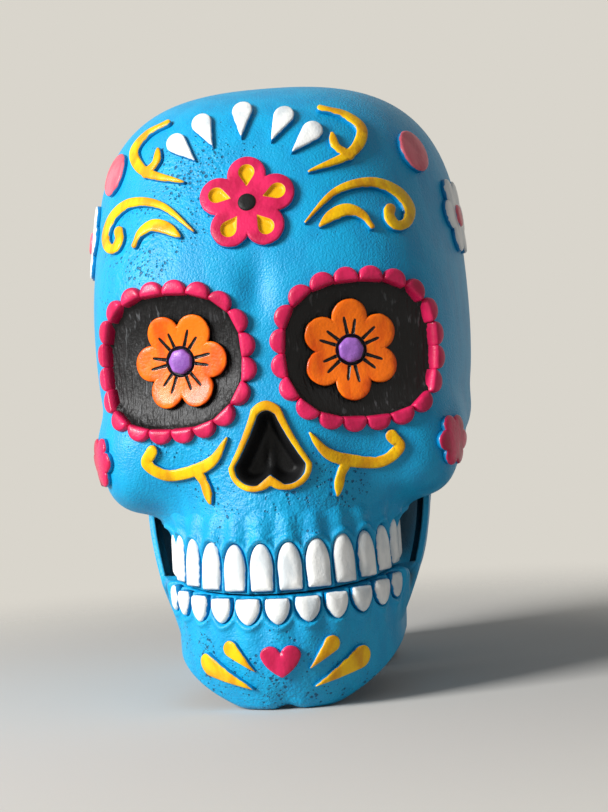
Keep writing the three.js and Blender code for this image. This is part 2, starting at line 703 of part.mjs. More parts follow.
const craniumSeat = toSolid(skinGeometry(grown(footless), skinBox, SHELL_CELL)).add(craniumSkin);

function seated(solid) {
  return toGeometry(solid.subtract(craniumSeat));
}

function raised(surface, shape, options) {
  return seated(toSolid(plate(surface, shape, reliefFoot, reliefTop, options)));
}

const front = plane(craniumField, 0, 0, 0);
const reliefFoot = -SEAT_SINK;
const reliefTop = FIT_GAP + RELIEF;

// The ornaments lean a little to the left as they climb the forehead.
function leaned(x, z) {
  return x - FOREHEAD_LEAN * Math.max(z - EYE_CENTRE_Z, 0);
}

function mirrored(points, side, halfWidth) {
  return points.map(([share, z]) => [leaned(side * share * halfWidth, z), z]);
}

function onFront(name, shape, colour) {
  addPiece(name, raised(front, shape), colour);
}

function eyePlane(side, shift = 0) {
  const turn = THREE.MathUtils.degToRad(side * EYE_TURN);
  const seat = front.land(side * EYE_CENTRE_X, EYE_CENTRE_Z);
  const across = seat.x * Math.cos(turn) + (seat.y - DOME_CENTRE_Y) * Math.sin(turn);
  return plane(craniumField, side * EYE_TURN, across - side * shift, EYE_CENTRE_Z);
}

function eyeDepth(a, b) {
  const share = Math.min(Math.hypot(a, b) / eyeRadius(Math.atan2(b, a), 0), 1);
  return -(EYE_RIM_DEPTH + (EYE_DISH_DEPTH - EYE_RIM_DEPTH) * (1 - share * share));
}

const eyeOutline = (grow) => polarShape(32, (angle) => eyeRadius(angle, grow));
const nosePlane = plane(craniumField, 0, 0, NOSE_CENTRE_Z);
const pinSpan = (side) => (side > 0 ? [PIN_INNER_END, PIN_OUTER_END] : [-PIN_OUTER_END, -PIN_INNER_END]);

// Cranium: the cast skin, hollowed from its base and cut for the eyes, the nose and the jaw pins.
const below = new THREE.Vector3(FAR, FAR, FELT_TOP);
let cranium = craniumSkin.subtract(boxSolid(new THREE.Vector3(-FAR, -FAR, -FAR), below));
const bite = new THREE.Vector3(FAR, BASE_CENTRE_Y - BASE_HALF_LENGTH - BITE_SETBACK, UPPER_JAW_FOOT);
cranium = cranium.subtract(boxSolid(new THREE.Vector3(-FAR, -FAR, -FAR), bite));
const hollow = new THREE.SphereGeometry(1, 24, 16);
for (let i = 0; i < hollow.attributes.position.count; i++) {
  const p = new THREE.Vector3().fromBufferAttribute(hollow.attributes.position, i);
  p.divideScalar(domeShare(Math.abs(p.x), Math.abs(p.y), Math.abs(p.z)));
  p.multiply(reach.clone().addScalar(-SHELL_WALL)).add(new THREE.Vector3(0, DOME_CENTRE_Y, DOME_CENTRE_Z));
  hollow.attributes.position.setXYZ(i, p.x, p.y, p.z);
}
const hollowCut = toSolid(hollow).subtract(
  boxSolid(new THREE.Vector3(-FAR, -FAR, -FAR), new THREE.Vector3(FAR, FAR, RAMUS_SLOT_TOP + SHELL_WALL)));
cranium = cranium.subtract(hollowCut);
cranium = cranium.subtract(toSolid(upright(BASE_HOLE_RADIUS, -CUT_OVERRUN, BASE_HOLE_TOP, BASE_CENTRE_Y)));
for (const [side] of sides) {
  const socket = plate(eyePlane(side), eyeOutline(FIT_GAP), eyeDepth, SOCKET_OVERRUN,
    { straight: true, edge: SOCKET_EDGE });
  cranium = cranium.subtract(toSolid(socket));
  cranium = cranium.subtract(toSolid(crossBar(PIN_RADIUS + FIT_GAP, ...pinSpan(side), HINGE_Y, HINGE_Z)));
  const swing = [JAW_SWING_INNER, FAR].map((x) => side * x).sort((a, b) => a - b);
  cranium = cranium.subtract(boxSolid(
    new THREE.Vector3(swing[0], JAW_SWING_FRONT, -FAR),
    new THREE.Vector3(swing[1], RAMUS_SLOT_BACK, JAW_SWING_TOP)));
}
const nostril = plate(nosePlane, noseShape(FIT_GAP), -NOSE_DEPTH, SOCKET_OVERRUN, { straight: true });
cranium = cranium.subtract(toSolid(nostril));
addPiece('cranium_shell', toGeometry(cranium), BLUE);

const feltRing = new THREE.Shape();
const feltHalves = [BASE_HALF_WIDTH - FELT_INSET, BASE_HALF_LENGTH - FELT_INSET];
feltRing.absellipse(0, BASE_CENTRE_Y, ...feltHalves, 0, 2 * Math.PI);
feltRing.holes.push(new THREE.Path().absarc(0, BASE_CENTRE_Y, BASE_HOLE_RADIUS, 0, 2 * Math.PI, true));
addPiece('base_felt', new THREE.ExtrudeGeometry(
  feltRing, { depth: FELT_THICKNESS, bevelEnabled: false, curveSegments: 16 }), FELT, 0.95);

// Eyes: a dished black lining, a scalloped rim, a petalled flower and its bead.
const petalHalf = Math.PI / EYE_PETALS;
const eyePetalOffset = EYE_FLOWER_REACH / (1 + Math.sin(petalHalf) * 1.12);
const eyePetalRadius = EYE_FLOWER_REACH - eyePetalOffset;
const onLining = (side, lift) => (a, b) =>
  eyeDepth(a - side * EYE_FLOWER_SHIFT, b) + FIT_GAP + EYE_LINING + FIT_GAP + lift;
for (const [side, name] of sides) {
  const seat = eyePlane(side);
  const lining = plate(seat, eyeOutline(0), (a, b) => eyeDepth(a, b) + FIT_GAP,
    (a, b) => eyeDepth(a, b) + FIT_GAP + EYE_LINING, { straight: true, edge: SOCKET_EDGE });
  addPiece(`eye_lining_${name}`, lining, BLACK, 0.2);
  const scallop = (angle) => Math.abs(Math.sin((EYE_SCALLOPS / 2) * angle)) ** 0.6;
  const rim = polarShape(EYE_SCALLOPS * 4, (angle) =>
    eyeRadius(angle, EYE_RING_WIDTH) + EYE_SCALLOP_REACH * scallop(angle));
  rim.holes.push(eyeOutline(FIT_GAP));
  addPiece(`eye_rim_${name}`, raised(seat, rim, { edge: PIECE_EDGE }), PINK);
  const turn = side < 0 ? 0 : petalHalf;
  const flower = petalShape(EYE_PETALS, eyePetalRadius, eyePetalOffset, turn);
  const flowerSeat = eyePlane(side, EYE_FLOWER_SHIFT);
  addPiece(`eye_flower_${name}`, plate(
    flowerSeat, flower, onLining(side, 0), onLining(side, RELIEF), { straight: true }), ORANGE);
  const bead = polarShape(16, () => EYE_BEAD_RADIUS);
  const beadFoot = onLining(side, reliefTop);
  addPiece(`eye_bead_${name}`, plate(flowerSeat, bead, beadFoot, (a, b) =>
    beadFoot(a, b) + EYE_BEAD_HEIGHT * (1 - 0.6 * (Math.hypot(a, b) / EYE_BEAD_RADIUS) ** 2),
  { straight: true, edge: BEAD_EDGE }), PURPLE);
}

// Nose: a black lining in the opening and a raised rim round it.
addPiece('nose_lining', plate(nosePlane, noseShape(0), -NOSE_DEPTH + FIT_GAP,
  -NOSE_DEPTH + FIT_GAP + NOSE_LINING, { straight: true }), BLACK, 0.2);
const noseRim = noseShape(NOSE_RIM_WIDTH);
noseRim.holes.push(noseShape(FIT_GAP));
addPiece('nose_rim', raised(nosePlane, noseRim), YELLOW);

// Forehead: a pink flower with its boss, a fan of white drops, and yellow scrolls on both sides.
const flowerPlane = plane(craniumField, 0, leaned(0, FLOWER_CENTRE_Z), FLOWER_CENTRE_Z);
const quarter = Math.PI / 2;
addPiece('forehead_flower', raised(flowerPlane, petalShape(
  FLOWER_PETALS, FLOWER_PETAL_RADIUS, FLOWER_PETAL_OFFSET, quarter)), PINK);
addPiece('forehead_flower_boss', plate(flowerPlane, polarShape(16, () => FLOWER_BOSS_RADIUS),
  reliefTop + FIT_GAP, reliefTop + FIT_GAP + FLOWER_BOSS_HEIGHT), BLACK, 0.3);
CROWN_DROP_ANGLES.forEach((degrees, i) => {
  const angle = quarter - THREE.MathUtils.degToRad(degrees);
  const z = FLOWER_CENTRE_Z + CROWN_DROP_REACH * Math.sin(angle);
  const x = leaned(CROWN_DROP_REACH * Math.cos(angle), z);
  onFront(`crown_drop_${i + 1}`, dropShape(x, z, CROWN_DROP_LENGTH, CROWN_DROP_WIDTH, angle), WHITE);
});

// The scrolls spread with the casting: across is a share of its half-width there, up is a height.
const upperScroll = [[0.309, 173.4], [0.515, 179], [0.586, 187], [0.515, 193], [0.391, 196]];
const upperProng = [[0.439, 187], [0.455, 182], [0.515, 178.5]];
const browScroll = [
  [0.273, 156], [0.432, 166], [0.597, 169], [0.712, 166], [0.768, 158], [0.727, 154], [0.679, 159]];
const browCrescent = [[0.341, 154.5], [0.409, 158], [0.485, 159.6], [0.553, 157.5], [0.591, 153.5]];
const cheekScroll = [[0.217, 89], [0.3, 82], [0.417, 79], [0.58, 78], [0.687, 82], [0.65, 86]];
const cheekProng = [[0.333, 67.5], [0.358, 74], [0.4, 79]];

function forkedScroll(name, side, main, prong, halfWidth) {
  const stemShape = strokeShape(mirrored(main, side, halfWidth), STROKE_HALF_WIDTH, STROKE_END);
  const stem = toSolid(plate(front, stemShape, reliefFoot, reliefTop));
  const forkShape = strokeShape(mirrored(prong, side, halfWidth), PRONG_HALF_WIDTH, STROKE_END);
  const fork = plate(front, forkShape, reliefFoot + BACK_STEP, reliefTop - BACK_STEP);
  addPiece(name, seated(stem.add(toSolid(fork))), YELLOW);
}

for (const [side, name] of sides) {
  forkedScroll(`upper_scroll_${name}`, side, upperScroll, upperProng, DOME_HALF_WIDTH);
  const brow = strokeShape(mirrored(browScroll, side, DOME_HALF_WIDTH), STROKE_HALF_WIDTH, STROKE_END);
  onFront(`brow_scroll_${name}`, brow, YELLOW);
  const crescent = strokeShape(
    mirrored(browCrescent, side, DOME_HALF_WIDTH), CRESCENT_HALF_WIDTH, CRESCENT_END);
  onFront(`brow_crescent_${name}`, crescent, YELLOW);
  forkedScroll(`cheek_scroll_${name}`, side, cheekScroll, cheekProng, FACE_HALF_WIDTH);
  const discPlane = plane(craniumField, side * TEMPLE_DISC_AZIMUTH, 0, TEMPLE_DISC_Z);
  addPiece(`temple_disc_${name}`, raised(discPlane, polarShape(20, () => TEMPLE_DISC_RADIUS)), CORAL);
  const templePlane = plane(craniumField, side * TEMPLE_FLOWER_AZIMUTH, 0, TEMPLE_FLOWER_Z);
  const bloom = petalShape(TEMPLE_FLOWER_PETALS, TEMPLE_FLOWER_PETAL_RADIUS, TEMPLE_FLOWER_PETAL_OFFSET);
  addPiece(`temple_flower_${name}`, raised(templePlane, bloom), WHITE);
  addPiece(`temple_flower_centre_${name}`, plate(templePlane, polarShape(16, () => TEMPLE_CENTRE_RADIUS),
    reliefTop + FIT_GAP, reliefTop + FIT_GAP + FLOWER_BOSS_HEIGHT), CORAL);
  const cheekPlane = plane(craniumField, side * CHEEK_ROSETTE_AZIMUTH, 0, CHEEK_ROSETTE_Z);
  const rosette = petalShape(CHEEK_ROSETTE_PETALS, CHEEK_ROSETTE_PETAL_RADIUS, CHEEK_ROSETTE_PETAL_OFFSET);
  addPiece(`cheek_rosette_${name}`, raised(cheekPlane, rosette), PINK);
}

// Jaw: a horseshoe with two rami, drilled for the pins, with its own teeth and chin ornaments.
const sheet = jawSheet();
const hingeA = alongLeg(HINGE_Y);
const jawEndA = hingeA + RAMUS_TOP_RADIUS;
const ramusFrontA = alongLeg(RAMUS_FRONT_Y);
const biteTop = BITE_HEIGHT - BITE_GAP / 2;

// The jaw's lower and upper borders, by the distance round the horseshoe.
function jawFoot(a) {
  const rise = THREE.MathUtils.smoothstep(Math.abs(a), CHIN_FLAT, QUARTER_ARC);
  const over = Math.max(Math.abs(a) - (jawEndA - JAW_CORNER_RADIUS), 0);
  return JAW_CORNER_HEIGHT * rise + JAW_CORNER_RADIUS - Math.sqrt(JAW_CORNER_RADIUS ** 2 - over ** 2);
}

function jawCrest(a) {
  const past = Math.abs(a) - hingeA;
  if (past > -RAMUS_TOP_RADIUS) return HINGE_Z + Math.sqrt(Math.max(RAMUS_TOP_RADIUS ** 2 - past ** 2, 0));
  const climb = (Math.abs(a) - ramusFrontA) / (hingeA - RAMUS_TOP_RADIUS - ramusFrontA);
  return THREE.MathUtils.lerp(biteTop, HINGE_Z, Math.max(climb, 0) ** 2);
}

function jawColumns() {
  const half = [];
  const span = (from, to, steps) => {
    for (let i = 0; i < steps; i++) half.push(THREE.MathUtils.lerp(from, to, i / steps));
  };
  span(0, ramusFrontA, 11);
  span(ramusFrontA, hingeA - RAMUS_TOP_RADIUS, 6);
  for (let i = 0; i <= 8; i++) half.push(hingeA - RAMUS_TOP_RADIUS * Math.cos((Math.PI * i) / 8));
  return [...half.slice(1).map((a) => -a).reverse(), ...half];
}

function jawGrid() {
  const points = [];
  const faces = [];
  const columns = jawColumns();
  const rows = 8;
  columns.forEach((a, i) => {
    for (let j = 0; j <= rows; j++) {
      points.push(new THREE.Vector2(a, THREE.MathUtils.lerp(jawFoot(a), jawCrest(a), j / rows)));
      if (i === 0 || j === 0) continue;
      const here = points.length - 1;
      const back = here - rows - 1;
      faces.push([back - 1, here - 1, here], [back - 1, here, back]);
    }
  });
  return { points, faces };
}

const jawWall = (a) => -THREE.MathUtils.lerp(
  JAW_WALL, RAMUS_WALL, THREE.MathUtils.smoothstep(Math.abs(a), QUARTER_ARC, ramusFrontA));
const grid = jawGrid();
let jaw = toSolid(prism(sheet, grid.points, grid.faces, jawWall, 0, true));
for (const [side, name] of sides) {
  jaw = jaw.subtract(toSolid(crossBar(PIN_RADIUS + FIT_GAP, ...pinSpan(side), HINGE_Y, HINGE_Z)));
  addPiece(`jaw_pin_${name}`, crossBar(PIN_RADIUS, ...pinSpan(side), HINGE_Y, HINGE_Z), STEEL, 0.3, 1);
}
addPiece('lower_jaw', toGeometry(jaw), BLUE);

function toothRow(surface, foot, count, pitch, width, height, root) {
  const span = ((count - 1) / 2) * pitch;
  const strip = bandShape(-span, span, root + height * 0.1, root + height * 0.5);
  let row = toSolid(plate(surface, strip, foot + BACK_STEP, FIT_GAP + TOOTH_BAND));
  for (let i = 0; i < count; i++) {
    const tooth = toothShape(i * pitch - span, root, width, height);
    row = row.add(toSolid(plate(surface, tooth, foot, FIT_GAP + TOOTH_THICKNESS, { edge: PIECE_EDGE })));
  }
  return row;
}

addPiece('upper_tooth_row', seated(toothRow(archBand(craniumField, ARCH_RADIUS), reliefFoot, UPPER_TEETH,
  UPPER_TOOTH_PITCH, UPPER_TOOTH_WIDTH, UPPER_TOOTH_HEIGHT, UPPER_JAW_FOOT + TOOTH_LIFT)), WHITE);
addPiece('lower_tooth_row', toGeometry(toothRow(sheet, FIT_GAP, LOWER_TEETH, LOWER_TOOTH_PITCH,
  LOWER_TOOTH_WIDTH, -LOWER_TOOTH_HEIGHT, biteTop - TOOTH_LIFT)), WHITE);

function onJaw(name, shape, colour) {
  addPiece(name, plate(sheet, shape, FIT_GAP, reliefTop), colour);
}

onJaw('chin_heart', heartShape(CHIN_HEART_WIDTH, CHIN_HEART_HEIGHT, CHIN_HEART_Z), PINK);
for (const [side, name] of sides) {
  for (const [place, drop] of [['inner', CHIN_DROP_INNER], ['outer', CHIN_DROP_OUTER]]) {
    const angle = quarter - side * THREE.MathUtils.degToRad(drop.fan);
    const shape = dropShape(side * drop.x, drop.z, drop.length, drop.width, angle);
    onJaw(`chin_drop_${place}_${name}`, shape, YELLOW);
  }
}

export default skull;
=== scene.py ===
"""Painted sugar skull: its looks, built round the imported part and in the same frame."""

import logging
import math
from dataclasses import dataclass
from enum import Enum
from typing import Callable, Sequence

import bpy
import numpy as np
from mathutils import Matrix, Vector
from mathutils.geometry import delaunay_2d_cdt


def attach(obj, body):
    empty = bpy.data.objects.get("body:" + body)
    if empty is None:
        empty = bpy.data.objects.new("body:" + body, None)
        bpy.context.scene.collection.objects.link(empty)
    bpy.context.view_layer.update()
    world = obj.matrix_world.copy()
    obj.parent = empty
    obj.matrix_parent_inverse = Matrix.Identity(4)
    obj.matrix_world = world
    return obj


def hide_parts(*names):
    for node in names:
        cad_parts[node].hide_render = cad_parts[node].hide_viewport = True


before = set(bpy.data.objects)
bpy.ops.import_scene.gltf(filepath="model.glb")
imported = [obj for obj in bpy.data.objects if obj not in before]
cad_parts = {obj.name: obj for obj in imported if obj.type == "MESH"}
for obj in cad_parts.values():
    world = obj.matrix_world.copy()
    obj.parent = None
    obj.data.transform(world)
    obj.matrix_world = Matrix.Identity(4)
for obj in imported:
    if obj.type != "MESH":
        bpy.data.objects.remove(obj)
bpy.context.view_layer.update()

LOG = logging.getLogger("skull")
Array = np.ndarray
Pair = tuple[float, float]
Triple = tuple[float, float, float]
Thing = bpy.types.Object
Socket = bpy.types.NodeSocket
Field = Callable[[Array, Array, Array], Array]
MM = 0.001
SIDES = ((-1, "left"), (1, "right"))


class Body(str, Enum):
    """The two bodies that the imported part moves."""

    SKULL = "skull"
    JAW = "jaw"


class Slot(str, Enum):
    """The record's material slots."""

    BLUE = "resin_blue"
    PINK = "paint_pink"
    YELLOW = "paint_yellow"
    WHITE = "paint_white"
    ORANGE = "paint_orange"
    PURPLE = "paint_purple"
    CORAL = "paint_coral"
    BLACK = "black_gloss"
    FELT = "felt"


# Sizes in millimetres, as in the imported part.
@dataclass(frozen=True)
class CastSize:
    """The cranium casting: dome, face, cheeks, upper jaw and base."""

    dome: Triple = (66, 76, 74)
    dome_centre: Triple = (0, 9, 137)
    dome_power: float = 3.1
    dome_plan_power: float = 2.4
    face: Triple = (60, 51, 54)
    face_centre: Triple = (0, -26, 117)
    face_power: float = 3
    face_blend: float = 16
    cheek: Triple = (18, 25, 18)
    cheek_centre: Triple = (42, -44, 82)
    cheek_power: float = 2.5
    cheek_blend: float = 10
    cheek_arch: tuple[Triple, Triple] = ((53, -44, 87), (56, 2, 92))
    cheek_arch_radius: float = 6
    mastoid: Triple = (10.5, 17, 40)
    mastoid_centre: Triple = (37, 28, 70)
    mastoid_blend: float = 12
    mastoid_power: float = 2
    jaw_top: float = 100
    jaw_bury: float = 8
    jaw_edge: float = 3
    jaw_blend: float = 12
    base: Pair = (31, 41)
    base_y: float = 37
    base_blend: float = 26
    base_top_edge: float = 40
    base_hole: float = 20
    base_hole_top: float = 112
    felt_top: float = 2.35
    slot_x: Pair = (34, 54)
    slot_y: Pair = (-36, 10)
    slot_top: float = 99
    slot_edge: float = 5
    slot_blend: float = 3
    swing: Triple = (27, -30, 44)
    cut_edge: float = 1.5
    socket_edge: float = 0.6
    socket_share: float = 1.01
    eye_cut: float = 12
    nose_cut: float = 13
    brow_dent: float = 2.4
    brow_dent_place: Pair = (-1, 136)
    brow_dent_reach: Pair = (5, 9)


@dataclass(frozen=True)
class MouthSize:
    """The tooth arch and both rows of teeth."""

    radius: float = 36.5
    centre_y: float = -47.5
    back_y: float = -14
    lean: float = 0.1
    bite: float = 38
    gap: float = 1.6
    setback: float = 3
    smile: float = 5
    upper_count: int = 14
    upper_pitch: float = 9.2
    upper_width: float = 7.9
    upper_height: float = 15.4
    lower_count: int = 11
    lower_pitch: float = 9.5
    lower_width: float = 8.2
    lower_height: float = 8.4

    @property
    def upper_foot(self) -> float:
        """Height of the upper jaw's lower edge at the front."""
        return self.bite + self.gap / 2

    @property
    def lower_top(self) -> float:
        """Height of the lower jaw's upper edge at the front."""
        return self.bite - self.gap / 2

    def rise(self, turn: Array) -> Array:
        """Returns how far the bite climbs at an angle round the arch."""
        return self.smile * (1 - np.cos(np.minimum(np.abs(turn), math.pi / 2)))


@dataclass(frozen=True)
class JawSize:
    """The lower jaw's horseshoe and its rami."""

    step: float = 1
    wall: float = 8
    ramus_wall: float = 4
    ramus_front: float = -42.5
    flare: float = 14
    spread: float = 11.5
    spread_top: float = 70
    spread_foot: float = 24
    corner_height: float = 16
    corner_radius: float = 12
    ramus_top: float = 9.5
    chin_width: float = 23
    chin_height: float = 16
    chin_z: float = 13
    chin_swell: float = 2.5
    chin_flat: float = 18
    rounding: float = 9
    rounding_top: float = 30
    cleft: float = 1.6
    cleft_reach: float = 4.5
    cleft_fade: Pair = (12, 2)
    hinge_y: float = -19
    hinge_z: float = 85


@dataclass(frozen=True)
class EyeSize:
    """One eye socket and what is painted and set in it."""

    x: float = 32
    z: float = 114.5
    turn: float = 15
    halves: Pair = (25.5, 22.5)
    power: float = 2.5
    rim_depth: float = 1.65
    dish_depth: float = 6.65
    scallops: int = 20
    flower: float = 16.5
    flower_shift: float = 3
    petals: int = 6
    bead: float = 4


CAST = CastSize()
MOUTH = MouthSize()
JAW = JawSize()
EYE = EyeSize()
# Usual height of an ornament, how far its foot is bedded in the skin, and how far that foot spreads.
RELIEF = 2.0
FOOT = -0.8
FOOT_SPREAD = 0.15
# Sideways lean of the forehead ornaments for each millimetre above the eyes.
FOREHEAD_LEAN = 0.055
TINY = 1e-9


def unit_vector(v: Array) -> Array:
    """Returns vectors at length one."""
    return v / (np.linalg.norm(v, axis=-1, keepdims=True) + TINY)


def bell(value: Array, reach: float) -> Array:
    """Returns 1 at nought, with a soft fall to 0 past the reach."""
    return np.exp(-((value / reach) ** 2))


# Smooth forms as signed distances.
def smooth_min(a: Array, b: Array, radius: float) -> Array:
    """Returns the smaller of two distances, blended over a radius."""
    h = np.clip(0.5 + 0.5 * (b - a) / radius, 0, 1)
    return b + (a - b) * h - radius * h * (1 - h)


def smooth_max(a: Array, b: Array, radius: float) -> Array:
    """Returns the larger of two distances, blended over a radius."""
    return -smooth_min(-a, -b, radius)


def smooth_step(value: Array, low: float, high: float) -> Array:
    """Returns 0 below low, 1 above high, and a smooth ramp between."""
    t = np.clip((value - low) / (high - low), 0, 1)
    return t * t * (3 - 2 * t)


def superellipsoid(x: Array, y: Array, z: Array, centre: Sequence[float], halves: Sequence[float],
                   power: float) -> Array:
    """Measures to a squared-off ellipsoid.

    Args:
        x: places across.
        y: places to the back.
        z: heights.
        centre: its middle.
        halves: its half sizes.
        power: 2 is round, more is squarer.

    Returns:
        The distances, negative inside.
    """
    u, v, w = (np.abs(c - m) / h for c, m, h in zip((x, y, z), centre, halves))
    total = u**power + v**power + w**power + TINY
    slope = np.sqrt(sum((c ** (power - 1) / h) ** 2 for c, h in zip((u, v, w), halves)))
    return (total ** (1 / power) - 1) / (slope * total ** (1 / power - 1) + 1e-6)


def capsule(x: Array, y: Array, z: Array, ends: Sequence[Sequence[float]], radius: float) -> Array:
    """Measures to a round bar.

    Args:
        x: places across.
        y: places to the back.
        z: heights.
        ends: the middles of its two ends.
        radius: its radius.

    Returns:
        The distances, negative inside.
    """
    a, b = (np.array(e, float) for e in ends)
    d = b - a
    rel = [c - m for c, m in zip((x, y, z), a)]
    t = np.clip(sum(r * way for r, way in zip(rel, d)) / (d @ d), 0, 1)
    return np.sqrt(sum((r - t * way) ** 2 for r, way in zip(rel, d))) - radius


def rounded_prism(plan: Array, height: Array, radius: float) -> Array:
    """Returns the distance to an upright prism with rounded edges."""
    a = plan + radius
    b = height + radius
    return np.minimum(np.maximum(a, b), 0) + np.hypot(np.maximum(a, 0), np.maximum(b, 0)) - radius


def gradient(shape: Field, p: Array, step: float = 0.2) -> Array:
    """Finds which way a field grows.

    Args:
        shape: the field.
        p: where it is read.
        step: how far to each side it is read.

    Returns:
        The outward directions, at length one.
    """
    parts = []
    for axis in range(3):
        move = np.zeros(3)
        move[axis] = step
        parts.append(shape(*(p + move).T) - shape(*(p - move).T))
    return unit_vector(np.stack(parts, -1))


def dome_share(u: Array, v: Array, w: Array) -> Array:
    """Returns the dome's size share at a point, 1 on its skin: rounder in plan than in elevation."""
    p, n = CAST.dome_plan_power, CAST.dome_power
    return ((u**p + v**p) ** (n / p) + w**n) ** (1 / n)


def dome_field(x: Array, y: Array, z: Array) -> Array:
    """Measures to the dome.

    Args:
        x: places across.
        y: places to the back.
        z: heights.

    Returns:
        The distances, negative inside.
    """
    at = [np.abs(c - m) / h + 1e-4 for c, m, h in zip((x, y, z), CAST.dome_centre, CAST.dome)]
    step = 1e-3
    share = dome_share(*at)
    slope = 0.0
    for i, half in enumerate(CAST.dome):
        moved = [c + (step if i == j else 0) for j, c in enumerate(at)]
        slope = slope + ((dome_share(*moved) - share) / (step * half)) ** 2
    return (share - 1) / np.sqrt(slope)


def body_field(x: Array, y: Array, z: Array) -> Array:
    """Measures to the cranium before its jaw slots are cut.

    Args:
        x: places across.
        y: places to the back.
        z: heights.

    Returns:
        The distances, negative inside.
    """
    side = np.abs(x)
    d = dome_field(x, y, z)
    face = superellipsoid(x, y, z, CAST.face_centre, CAST.face, CAST.face_power)
    d = smooth_min(d, face, CAST.face_blend)
    cheek = superellipsoid(side, y, z, CAST.cheek_centre, CAST.cheek, CAST.cheek_power)
    d = smooth_min(d, cheek, CAST.cheek_blend)
    d = smooth_min(d, capsule(side, y, z, CAST.cheek_arch, CAST.cheek_arch_radius), CAST.cheek_blend)
    centre = MOUTH.centre_y + MOUTH.lean * (z - MOUTH.bite)
    middle = (MOUTH.upper_foot - CAST.jaw_bury + CAST.jaw_top) / 2
    plan = np.hypot(x, y - np.clip(y, centre, MOUTH.back_y)) - MOUTH.radius
    upper_jaw = rounded_prism(plan, np.abs(z - middle) - (CAST.jaw_top - middle), CAST.jaw_edge)
    d = smooth_min(d, upper_jaw, CAST.jaw_blend)
    plan = (np.hypot(x / CAST.base[0], (y - CAST.base_y) / CAST.base[1]) - 1) * CAST.base[0]
    base = smooth_max(plan, z - CAST.dome_centre[2], CAST.base_top_edge)
    d = smooth_min(d, base, CAST.base_blend)
    mastoid = superellipsoid(side, y, z, CAST.mastoid_centre, CAST.mastoid, CAST.mastoid_power)
    return smooth_min(d, mastoid, CAST.mastoid_blend)


def skin_field(x: Array, y: Array, z: Array) -> Array:
    """Measures to the cranium's outer skin, on which the ornaments lie.

    Args:
        x: places across.
        y: places to the back.
        z: heights.

    Returns:
        The distances, negative inside.
    """
    mid_x, mid_y = sum(CAST.slot_x) / 2, sum(CAST.slot_y) / 2
    across = np.abs(np.abs(x) - mid_x) - (CAST.slot_x[1] - mid_x)
    plan = np.maximum(across, np.abs(y - mid_y) - (CAST.slot_y[1] - mid_y))
    slot = rounded_prism(plan, z - CAST.slot_top, CAST.slot_edge)
    d = smooth_max(body_field(x, y, z), -slot, CAST.slot_blend)
    (dent_x, dent_z), (wide, tall) = CAST.brow_dent_place, CAST.brow_dent_reach
    dent = CAST.brow_dent * bell(x - dent_x, wide) * bell(z - dent_z, tall)
    return d + dent * (y < 0)


def eye_share(a: Array, b: Array) -> Array:
    """Returns 0 at an eye's centre and 1 on its outline."""
    n = EYE.power
    return ((np.abs(a) / EYE.halves[0]) ** n + (np.abs(b) / EYE.halves[1]) ** n) ** (1 / n)


def eye_dish(a: Array, b: Array) -> Array:
    """Returns the black dish's depth below the skin, as a negative lift."""
    share = np.minimum(eye_share(a, b), 1)
    return -(EYE.rim_depth + (EYE.dish_depth - EYE.rim_depth) * (1 - share * share))


# Closed skins over a field.
def surface_net(shape: Field, low: Array, high: Array, cell: float) -> tuple[Array, Array]:
    """Meshes a field's zero level with one point in each crossed cell.

    Args:
        shape: the field, negative inside.
        low: lowest corner of the sampled box.
        high: highest corner.
        cell: the sampling step.

    Returns:
        The points and the four-sided faces.
    """
    block, band, inset = 5, 1.7, 0.02
    axes = [l + cell * np.arange(int(math.ceil((h - l) / cell)) + 1) for l, h in zip(low, high)]
    coarse = shape(*np.meshgrid(*[axis[::block] for axis in axes], indexing="ij"))
    spread = [np.minimum((np.arange(len(axis)) + block // 2) // block, size - 1)
              for axis, size in zip(axes, coarse.shape)]
    values = coarse[np.ix_(*spread)].copy()
    near = np.nonzero(np.abs(values) < band * block * cell)
    values[near] = shape(*[axis[i] for axis, i in zip(axes, near)])
    inside = values < 0
    corners = np.array([[c & 1, (c >> 1) & 1, c >> 2] for c in range(8)])
    ends = [slice(None, -1), slice(1, None)]
    filled = sum(inside[ends[i], ends[j], ends[k]].astype(np.uint8) for i, j, k in corners)
    cells = np.stack(np.nonzero((filled > 0) & (filled < 8)), -1)
    total = np.zeros((len(cells), 3))
    hits = np.zeros(len(cells))
    for a in range(8):
        for axis in range(3):
            b = a | (1 << axis)
            if a == b:
                continue
            va = values[tuple((cells + corners[a]).T)]
            vb = values[tuple((cells + corners[b]).T)]
            cross = (va < 0) != (vb < 0)
            t = np.where(cross, va / np.where(cross, va - vb, 1), 0)
            total += cross[:, None] * (corners[a] + t[:, None] * (corners[b] - corners[a]))
            hits += cross
    points = low + cell * (cells + total / hits[:, None])
    for _ in range(2):
        move = np.clip(shape(*points.T), -cell / 2, cell / 2)
        points = points - move[:, None] * gradient(shape, points)
    points = np.clip(points, low + cell * (cells + inset), low + cell * (cells + 1 - inset))
    index = np.full([n - 1 for n in values.shape], -1)
    index[tuple(cells.T)] = np.arange(len(cells))
    faces = []
    for axis in range(3):
        u = np.eye(3, dtype=int)[(axis + 1) % 3]
        v = np.eye(3, dtype=int)[(axis + 2) % 3]
        here = np.stack(np.nonzero(inside != np.roll(inside, -1, axis)), -1)
        here = here[(here >= 1).all(1) & (here < np.array(values.shape) - 1).all(1)]
        quad = np.stack([index[tuple(q.T)] for q in (here - u - v, here - v, here, here - u)], -1)
        flip = ~inside[tuple(here.T)]
        quad[flip] = quad[flip][:, ::-1]
        faces.append(quad)
    return points, np.concatenate(faces)


